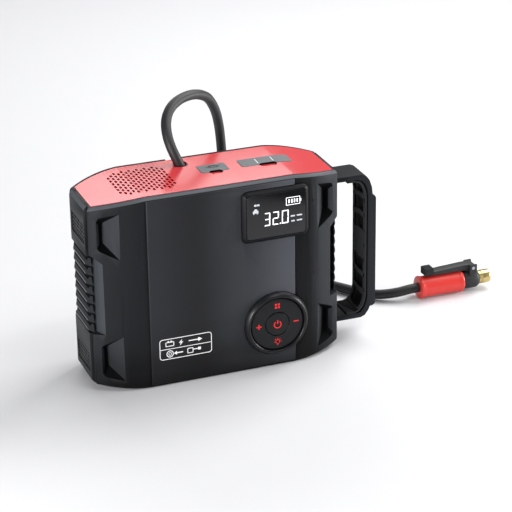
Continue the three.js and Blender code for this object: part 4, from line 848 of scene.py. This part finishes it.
panel_knots = [x for x in STATIONS if x < PANEL_END - STATION_PITCH] + [PANEL_END]
panel_edge = [(x, half_depth(along(x)) - PANEL_INSET) for x in panel_knots]
panel_outline = pieces_of(
    [(-x, -y, y) for x, y in panel_edge[::-1]] + [(x, -y, y) for x, y in panel_edge])
panel_holes = [flap_opening(*sizes) for sizes in FLAPS.values()]
panel_holes.append(pieces_of(round_box(*HOSE_NOTCH)))
panel_holes += intake_holes()
panel = link_piece("top_cover", strip_plate(
    "top_cover", panel_outline, panel_holes, 0.0, PANEL_DEPTH, edge=0.7, edge_drop=0.35), RED,
    "housing")
# Painted shade: the walls of the intake holes in the red panel get the dark red.
panel.data.materials.append(SCREEN_AND_SHADE)
for face in panel.data.polygons:
    x, y, z = in_mm(face.center)
    if INTAKE_ZONE[0] < x < INTAKE_ZONE[1] and abs(y) < INTAKE_ZONE[2] and abs(face.normal.z) < 0.3:
        face.material_index = 1
smooth_flats(panel)
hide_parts("top_panel")
# The dark red floor under the intake holes, partly painted shade.
floor_start, floor_end, floor_half = INTAKE_FLOOR
screen_edge = pieces_of([(x, -floor_half, floor_half) for x in (floor_start, floor_end)])
screen = link_piece("intake_floor", strip_plate(
    "intake_floor", screen_edge, [], -FLOOR_DROP, PANEL_DEPTH), SCREEN_AND_SHADE, "housing")

# ---- Flaps ----

SEAT_DROP, PORT_INSET, PORT_RADIUS, SCOOP_FALL = 1.5, 2.6, 1.2, 1.9
FLAP_RISE, FLAP_SINK, NOTCH_DEPTH = 0.4, 1.4, 2.5
SIGN_RISE, SIGN_SINK = 0.1, 0.05


def flap_seat(name, left, width):
    """The ledge under a flap, open over the sockets."""
    port = pieces_of(round_box(
        left + PORT_INSET, FLAP_FRONT + PORT_INSET, width - 2 * PORT_INSET,
        FLAP_DEPTH - 2 * PORT_INSET, PORT_RADIUS))
    seat = pieces_of(seat_box(left, width))
    ledge = link_piece(f"{name}_seat", strip_plate(
        f"{name}_seat", seat, [port], -SEAT_DROP, PANEL_DEPTH), RED, "housing")


def flap_scoop(name, scoop_left, scoop_right):
    """The sloping finger scoop in front of a flap."""
    front, back = FLAP_FRONT - FLAP_GAP - SCOOP_REACH, FLAP_FRONT + 1
    z_front, z_back = HIGH - 0.02, HIGH - SCOOP_FALL
    upper = [(scoop_left + SCOOP_LEAN, front, z_front), (scoop_right - SCOOP_LEAN, front, z_front),
             (scoop_right, back, z_back), (scoop_left, back, z_back)]
    bm = bmesh.new()
    ramp = [bm.verts.new([c * MM for c in p]) for p in upper]
    base = [bm.verts.new((x * MM, y * MM, (HIGH - PANEL_DEPTH) * MM)) for x, y, _ in upper]
    bm.faces.new(ramp)
    bm.faces.new(base[::-1])
    for i in range(4):
        j = (i + 1) % 4
        bm.faces.new((ramp[j], ramp[i], base[i], base[j]))
    scoop = link_piece(f"{name}_scoop", solid_mesh(bm, f"{name}_scoop"), RED, "housing")


def flap_plate(name, left, width, scoop_left, scoop_right):
    """A flap with a notch over its finger scoop, and painted shade on the notch's walls."""
    back, inner = FLAP_FRONT + FLAP_DEPTH, FLAP_FRONT + NOTCH_DEPTH
    notch = [(scoop_left + 0.4, FLAP_FRONT, back), (scoop_left + 2.2, inner, back),
             (scoop_right - 2.2, inner, back), (scoop_right - 0.4, FLAP_FRONT, back)]
    box = round_box(left, FLAP_FRONT, width, FLAP_DEPTH, FLAP_RADIUS)
    flap = link_piece(f"{name}_plate", strip_plate(
        f"{name}_plate", with_middle(box, notch), [], FLAP_RISE, FLAP_SINK,
        edge=0.35, edge_drop=0.3), FLAP, body_of_node[name])
    # Painted shade, near black, on the walls of the notch, which lie in shade under the flap's
    # edge.
    flap.data.materials.append(SHADE_BLACK)
    for face in flap.data.polygons:
        x, y, _ = in_mm(face.center)
        in_notch = scoop_left < x < scoop_right and FLAP_FRONT + 0.1 < y < FLAP_FRONT + 4
        if in_notch and abs(face.normal.z) < 0.3:
            face.material_index = 1
    smooth_flats(flap)
    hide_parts(name)


for name, (left, width, scoop_left, scoop_right) in FLAPS.items():
    flap_seat(name, left, width)
    flap_scoop(name, scoop_left, scoop_right)
    flap_plate(name, left, width, scoop_left, scoop_right)

sign_high, sign_low = HIGH + FLAP_RISE + SIGN_RISE, HIGH + FLAP_RISE - SIGN_SINK
lines = band([(44.9, 7.2), (44.5, -2.1)], 0.65) + band([(58.0, 7.4), (57.7, -1.6)], 0.65)
add_marks("usb_flap_lines", lines, "z", sign_high, sign_low, PRINT, body_of_node["usb_flap"])
sign = box_band(5.8, 3.2, 12.0, 6.2, 0.9, 0.3)
sign += band([(3.1, 4.8), (5.3, 4.8)], 0.9) + band([(12.5, 4.8), (14.7, 4.8)], 0.9)
sign += [rect(6.9, 6.5, 1.3, 0.9), rect(9.6, 6.5, 1.3, 0.9)]
add_marks("jump_flap_sign", sign, "z", sign_high, sign_low, SIGN, body_of_node["jump_flap"])

# ---- Hose ----

HOSE_DIAMETER = 8.5
HOSE_ROUTE = [
    (-11.3, 20.5, 156.4), (-13, 20.5, 160.6), (-15.2, 21.1, 166), (-17.4, 22.6, 171.8),
    (-19, 25, 177.2), (-19.7, 28.4, 182.4), (-19.4, 32.6, 187.4), (-18, 37.2, 192),
    (-15.2, 42, 196.2), (-10.8, 47, 199.8), (-5, 51.8, 202.2), (1.8, 56.4, 203.4),
    (9, 60.8, 203.4), (16.4, 65.6, 202), (23.8, 70.8, 198.8), (31, 76.4, 193.6),
    (37.2, 82, 185), (42.2, 87.4, 174.6), (46, 91.8, 161), (48.6, 95.2, 144),
    (50.4, 97.8, 124), (51.8, 99.6, 102), (53.4, 101, 80), (56.4, 101.8, 58.6),
    (62.4, 102, 40), (71.6, 102, 25), (83.6, 102, 13.8), (97.8, 101.2, 6.9),
    (112.5, 98.6, 4.8), (127, 92.4, 4.8), (139.8, 82.6, 4.8), (150.6, 68.6, 4.8),
    (161, 54.4, 4.8), (173, 44.2, 5.6), (186.4, 38, 7.8), (196, 36.1, 9.6), (204.7, 36, 10),
]


def spline(points, per_span):
    """Centripetal curve through points, with its end tangents carried straight on."""
    p = [Vector(q) for q in points]
    p = [2 * p[0] - p[1]] + p + [2 * p[-1] - p[-2]]
    out = []
    for i in range(1, len(p) - 2):
        a, b, c, d = p[i - 1:i + 3]
        t0 = 0.0
        t1 = t0 + math.sqrt((b - a).length)
        t2 = t1 + math.sqrt((c - b).length)
        t3 = t2 + math.sqrt((d - c).length)
        for step in range(per_span):
            t = t1 + (t2 - t1) * step / per_span
            ab = a.lerp(b, (t - t0) / (t1 - t0))
            bc = b.lerp(c, (t - t1) / (t2 - t1))
            cd = c.lerp(d, (t - t2) / (t3 - t2))
            abc = ab.lerp(bc, (t - t0) / (t2 - t0))
            bcd = bc.lerp(cd, (t - t1) / (t3 - t1))
            out.append(abc.lerp(bcd, (t - t1) / (t2 - t1)))
    out.append(p[-2])
    return out


HOSE_STEPS, HOSE_CLEARANCE = 6, 0.12
hose_line = [q * MM for q in spline(HOSE_ROUTE, HOSE_STEPS)]
hose_curve = bpy.data.curves.new("hose_line", "CURVE")
hose_curve.dimensions = "3D"
hose_curve.bevel_depth = (HOSE_DIAMETER / 2 - HOSE_CLEARANCE) * MM
hose_curve.bevel_resolution = 6
hose_curve.use_fill_caps = True
poly = hose_curve.splines.new("POLY")
poly.points.add(len(hose_line) - 1)
for point, place in zip(poly.points, hose_line):
    point.co = (*place, 1.0)
hose = bpy.data.objects.new("hose", hose_curve)
bpy.context.scene.collection.objects.link(hose)
hose_curve.materials.append(HOSE)
poly.use_smooth = True
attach(hose, "housing")
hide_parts("air_hose")

# ---- Chuck, which lies along X ----

CHUCK_X, CHUCK_Y, CHUCK_Z = 205.0, 36.0, 10.0
BODY_LENGTH, HEAD_LENGTH = 41.3, 15.3
TAB_X, TAB_Z, TAB_SIZE = 213.4, 24.6, (8.4, 9.8, 6.6)
chuck_profile = [
    (0, 0.4), (4.6, 0.4), (4.9, 0), (9.3, 0), (9.8, 0.35), (10, 0.9), (9.9, 1.8), (9.5, 3),
    (9.4, 5), (9.4, 36), (9.6, 37.2), (10, 37.8), (10, 39.4), (9.7, 40.3), (9, 40.8),
    (8.2, 41), (0, 41),
]
chuck = turned("chuck_handle", "chuck_body", chuck_profile, "x", (CHUCK_X, CHUCK_Y, CHUCK_Z),
               CHUCK, 0.2, angle=40)
bm = bmesh.new()
bmesh.ops.create_cube(bm, size=1)
for vert in bm.verts:
    place = zip((TAB_X, CHUCK_Y, TAB_Z), vert.co, TAB_SIZE)
    vert.co = [(middle + share * size) * MM for middle, share, size in place]
tab = link_piece("lever_tab", solid_mesh(bm, "lever_tab"), GRIP, body_of_node["chuck_lever"])
soften(tab, 0.8, angle=30, segments=3)
nozzle_profile = [
    (0, 0), (6, 0), (6, 1.2), (5.4, 1.6), (5.4, 2.4), (6, 2.8), (6, 9.6), (5.7, 10.5), (5, 11),
    (4.4, 11), (4.2, 10.6), (4.2, 1.5), (0, 1.5),
]
nozzle = turned(
    "nozzle", "chuck_nozzle", nozzle_profile, "x",
    (CHUCK_X + BODY_LENGTH + HEAD_LENGTH, CHUCK_Y, CHUCK_Z), BRASS, 0.12, angle=40)

# ---- Keypad ----

KEY_X, KEY_Z, FACE = 44.5, 38.5, -38.8
RING_CREST, DISC_FACE, OK_FACE = FACE - 3.6, FACE - 2.2, FACE - 2.6
RING_STEP, RING_BACK = -33.5, -31.7
LEGEND_R, KEY_PRINT = 15.9, 0.12
key_centre = (KEY_X, 0, KEY_Z)
ring_profile = [
    (22.8, RING_CREST + 1.6), (22.9, RING_CREST + 0.9), (23.3, RING_CREST + 0.3),
    (23.9, RING_CREST), (24.6, RING_CREST), (25.2, RING_CREST + 0.35), (26.9, FACE - 0.6),
    (27.2, FACE), (27.2, RING_STEP), (29.2, RING_STEP), (29.2, RING_BACK), (22.8, RING_BACK),
]
turned("keypad_rim", "keypad_ring", ring_profile, "y", key_centre, GLOSS, 0.15, sides=96)
disc_profile = [
    (10.3, DISC_FACE + 0.6), (10.35, DISC_FACE + 0.2), (10.6, DISC_FACE), (20.8, DISC_FACE),
    (21.7, DISC_FACE + 0.25), (22.2, DISC_FACE + 0.9), (22.2, DISC_FACE + 2.6),
    (10.3, DISC_FACE + 2.6),
]
turned("nav_disc_face", "nav_disc", disc_profile, "y", key_centre, KEY, 0.12, sides=96)
ok_profile = [
    (0, OK_FACE), (8.6, OK_FACE), (9.5, OK_FACE + 0.2), (9.9, OK_FACE + 0.8),
    (9.9, OK_FACE + 4.2), (0, OK_FACE + 4.2),
]
turned("ok_cap", "ok_button", ok_profile, "y", key_centre, KEY, 0.12, sides=72)

plus = [rect(KEY_X - LEGEND_R - 2.2, KEY_Z - 0.45, 4.4, 0.9),
        rect(KEY_X - LEGEND_R - 0.45, KEY_Z + 0.45, 0.9, 1.75),
        rect(KEY_X - LEGEND_R - 0.45, KEY_Z - 2.2, 0.9, 1.75)]
minus = [rect(KEY_X + LEGEND_R - 2.2, KEY_Z - 0.45, 4.4, 0.9)]
mode_z, lamp_z = KEY_Z + LEGEND_R, KEY_Z - LEGEND_R
mode = [rect(KEY_X + x, mode_z + z, 1.7, 1.7) for z in (-2.1, 0.4) for x in (-2.1, 0.4)]
lamp = band(arc_points(KEY_X, lamp_z + 0.5, 1.7, -45, 225, 10), 0.55)
lamp += [rect(KEY_X - 0.9, lamp_z - 1.7, 1.8, 0.5), rect(KEY_X - 0.6, lamp_z - 2.5, 1.2, 0.5)]
for angle in (0, 45, 90, 135, 180):
    c, s = math.cos(math.radians(angle)), math.sin(math.radians(angle))
    lamp += band([(KEY_X + r * c, lamp_z + 0.5 + r * s) for r in (2.5, 3.3)], 0.5)
add_marks("disc_legends", plus + minus + mode + lamp, "y", DISC_FACE - KEY_PRINT, DISC_FACE,
          RED_PRINT, "nav_disc")
power = band(arc_points(KEY_X, KEY_Z - 0.3, 2.9, 125, 415, 20), 0.85)
power += [rect(KEY_X - 0.42, KEY_Z + 0.5, 0.84, 3.1)]
add_marks("ok_legend", power, "y", OK_FACE - KEY_PRINT, OK_FACE, RED_PRINT, "ok_button")

# ---- Display ----

GLASS_FACE, PRINT_DEPTH = -41.2, 0.05
DIGIT_Z, DIGIT_HEIGHT, STROKE, LEAN = 124.8, 11.0, 0.85, 0.02
BATTERY_X, BATTERY_Z, BATTERY_WIDTH, BATTERY_HEIGHT = 52.8, 139.7, 11.4, 6.1
SEGMENTS = {"0": "abcdef", "2": "abged", "3": "abgcd"}


def digit(character, x, width):
    """Seven-segment figure as leaning outlines, with its lower left corner at x."""
    height, half, t = DIGIT_HEIGHT, DIGIT_HEIGHT / 2, STROKE
    gap = t * 0.14
    shapes = {
        "a": [(gap, height), (width - gap, height), (width - t, height - t), (t, height - t)],
        "d": [(gap, 0), (t, t), (width - t, t), (width - gap, 0)],
        "g": [(t * 0.7, half), (t * 1.1, half + t / 2), (width - t * 1.1, half + t / 2),
              (width - t * 0.7, half), (width - t * 1.1, half - t / 2), (t * 1.1, half - t / 2)],
        "f": [(0, height - gap), (t, height - t - gap), (t, half + t * 0.65), (0, half + gap)],
        "b": [(width, height - gap), (width, half + gap), (width - t, half + t * 0.65),
              (width - t, height - t - gap)],
        "e": [(0, gap), (0, half - gap), (t, half - t * 0.65), (t, t + gap)],
        "c": [(width, gap), (width - t, t + gap), (width - t, half - t * 0.65),
              (width, half - gap)],
    }
    return [[(x + a + LEAN * b, DIGIT_Z + b) for a, b in shapes[s]] for s in SEGMENTS[character]]


lit = [outline for character, left, width in (("3", 34.2, 4.9), ("2", 41.2, 5.1), ("0", 48.9, 5.6))
       for outline in digit(character, left, width)]
lit += [rect(47.2, DIGIT_Z, 1.1, 1.1)]
battery_end, battery_top = BATTERY_X + BATTERY_WIDTH, BATTERY_Z + BATTERY_HEIGHT
lit += band([(BATTERY_X, BATTERY_Z), (battery_end, BATTERY_Z), (battery_end, battery_top),
             (BATTERY_X, battery_top), (BATTERY_X, BATTERY_Z - 0.25)], 0.45)
lit += [rect(battery_end + 0.3, BATTERY_Z + 1.9, 0.7, 2.3)]
lit += [rect(BATTERY_X + 1.75 + 2.3 * i, BATTERY_Z + 1.5, 1.1, 3.1) for i in range(4)]
add_marks("display_figures", lit, "y", GLASS_FACE - PRINT_DEPTH, GLASS_FACE, LIT, "housing")
unit_bars = [rect(56.4, 129.4, 3.6, 1.2), rect(61.6, 129.4, 4.4, 1.2),
             rect(56.8, 125.2, 3.0, 1.2), rect(61.6, 125.2, 4.4, 1.2)]
mode_bars = [rect(25.9, 142.6, 2.0, 1.6), rect(28.3, 142.6, 2.0, 1.6)]
car = [[(24.8, 136.9), (29.4, 136.9), (29.4, 138.6), (28.5, 139.1), (27.9, 140.3),
        (26.3, 140.3), (25.7, 139.1), (24.8, 138.6)],
       rect(25.2, 136.1, 0.9, 0.8), rect(28.1, 136.1, 0.9, 0.8)]
add_marks("display_marks", unit_bars + mode_bars + car, "y", GLASS_FACE - PRINT_DEPTH, GLASS_FACE,
          LIT_DIM, "housing")

# ---- Printed frame with two rows of signs ----

LABEL_X, LABEL_Z, LABEL_WIDTH, LABEL_HEIGHT = -54.0, 23.7, 43.0, 17.3
border = round_rect(LABEL_X, LABEL_Z, LABEL_WIDTH, LABEL_HEIGHT, 2.2)
signs = band(border + border[:1], 0.55)
signs += [rect(LABEL_X, LABEL_Z + LABEL_HEIGHT / 2 - 0.25, LABEL_WIDTH, 0.5)]

# Battery, flash and arrow.
row_z = LABEL_Z + LABEL_HEIGHT * 0.75
signs += box_band(-49, row_z - 1.8, -42.4, row_z + 1.5, 0.6, 0.2)
signs += [rect(-47.6, row_z + 1.8, 1.4, 0.9), rect(-45.2, row_z + 1.8, 1.4, 0.9)]
signs += [[(-35.4, row_z + 2.6), (-38.2, row_z - 0.4), (-36.3, row_z - 0.4)],
          [(-37.3, row_z - 2.8), (-34.5, row_z + 0.4), (-36.4, row_z + 0.4)]]
signs += band([(-30, row_z), (-22, row_z)], 0.9)
signs += [[(-22, row_z + 1.8), (-22, row_z - 1.8), (-18.6, row_z)]]

# Wheel, arrow and pump with its hose.
row_z = LABEL_Z + LABEL_HEIGHT * 0.25
signs += band(arc_points(-45.7, row_z, 2.7, 0, 360, 20), 0.7)
signs += band(arc_points(-45.7, row_z, 1.2, 0, 360, 14), 0.5)
signs += band([(-40, row_z), (-35, row_z)], 0.9)
signs += [[(-40, row_z + 1.6), (-42.6, row_z), (-40, row_z - 1.6)]]
signs += box_band(-31, row_z - 2, -26.6, row_z + 2, 0.6, 0.2)
signs += band([(-26.4, row_z + 0.6), (-22.6, row_z + 0.6)], 0.8)
signs += [rect(-22.4, row_z - 0.6, 2.4, 2.4)]
add_marks("fascia_print", signs, "y", FACE - PRINT_DEPTH, FACE, PRINT, "housing")

# ---- Stage, light and camera, in metres ----

FLOOR_REACH = 6.0
scene = bpy.context.scene
floor_mesh = bpy.data.meshes.new("floor")
floor_mesh.from_pydata(
    [(u * FLOOR_REACH, v * FLOOR_REACH, 0) for u, v in corners(-1, -1, 1, 1)], [], [(0, 1, 2, 3)])
floor = bpy.data.objects.new("floor", floor_mesh)
scene.collection.objects.link(floor)
floor_mesh.materials.append(FLOOR)


def area_light(name, place, target, size, power):
    """A rectangular soft light that faces a target."""
    light = bpy.data.lights.new(name, "AREA")
    light.shape = "RECTANGLE"
    light.size, light.size_y = size
    light.energy = power
    lamp = bpy.data.objects.new(name, light)
    scene.collection.objects.link(lamp)
    lamp.location = place
    lamp.rotation_euler = (Vector(target) - Vector(place)).to_track_quat("-Z", "Y").to_euler()


area_light("key_light", (0.95, 0.35, 1.15), (0, 0, 0.1), (0.8, 0.8), 19)
area_light("left_light", (-0.86, -0.68, 0.26), (-0.05, 0, 0.08), (0.5, 0.3), 13)
area_light("right_light", (1.15, -0.25, 0.22), (0.05, 0, 0.08), (0.4, 0.3), 11)
area_light("back_light", (0.19, 1.34, 1.01), (0, 0, 0.16), (1.1, 0.55), 8.5)
area_light("front_light", (0.35, -0.55, 1.3), (0, 0, 0.1), (0.7, 0.4), 4.5)

world = bpy.data.worlds.new("world")
scene.world = world
world.use_nodes = True
background = world.node_tree.nodes["Background"]
background.inputs["Color"].default_value = (0.9, 0.92, 0.95, 1)
background.inputs["Strength"].default_value = 0.22

CAMERA_PLACE = (-0.48952, -1.40865, 0.73970)
AZIMUTH, ELEVATION, ROLL = math.radians(20.688), math.radians(23.607), math.radians(-0.843)
PICTURE_PIXELS, FOCAL_PIXELS, SENSOR_WIDTH = 512, 2034.93, 36.0
back = Vector((-math.sin(AZIMUTH) * math.cos(ELEVATION),
               -math.cos(AZIMUTH) * math.cos(ELEVATION), math.sin(ELEVATION)))
right = (-back).cross(Vector((0, 0, 1))).normalized()
up = right.cross(-back)
rolled_right = math.cos(ROLL) * right + math.sin(ROLL) * up
rolled_up = -math.sin(ROLL) * right + math.cos(ROLL) * up
camera_data = bpy.data.cameras.new("camera")
camera = bpy.data.objects.new("camera", camera_data)
scene.collection.objects.link(camera)
scene.camera = camera
camera_data.sensor_width = SENSOR_WIDTH
camera_data.lens = FOCAL_PIXELS / PICTURE_PIXELS * SENSOR_WIDTH
camera.matrix_world = Matrix.Translation(CAMERA_PLACE) @ Matrix(
    (rolled_right, rolled_up, back)).transposed().to_4x4()
camera_data.clip_start, camera_data.clip_end = 0.05, 30
scene.view_settings.view_transform = "Standard"
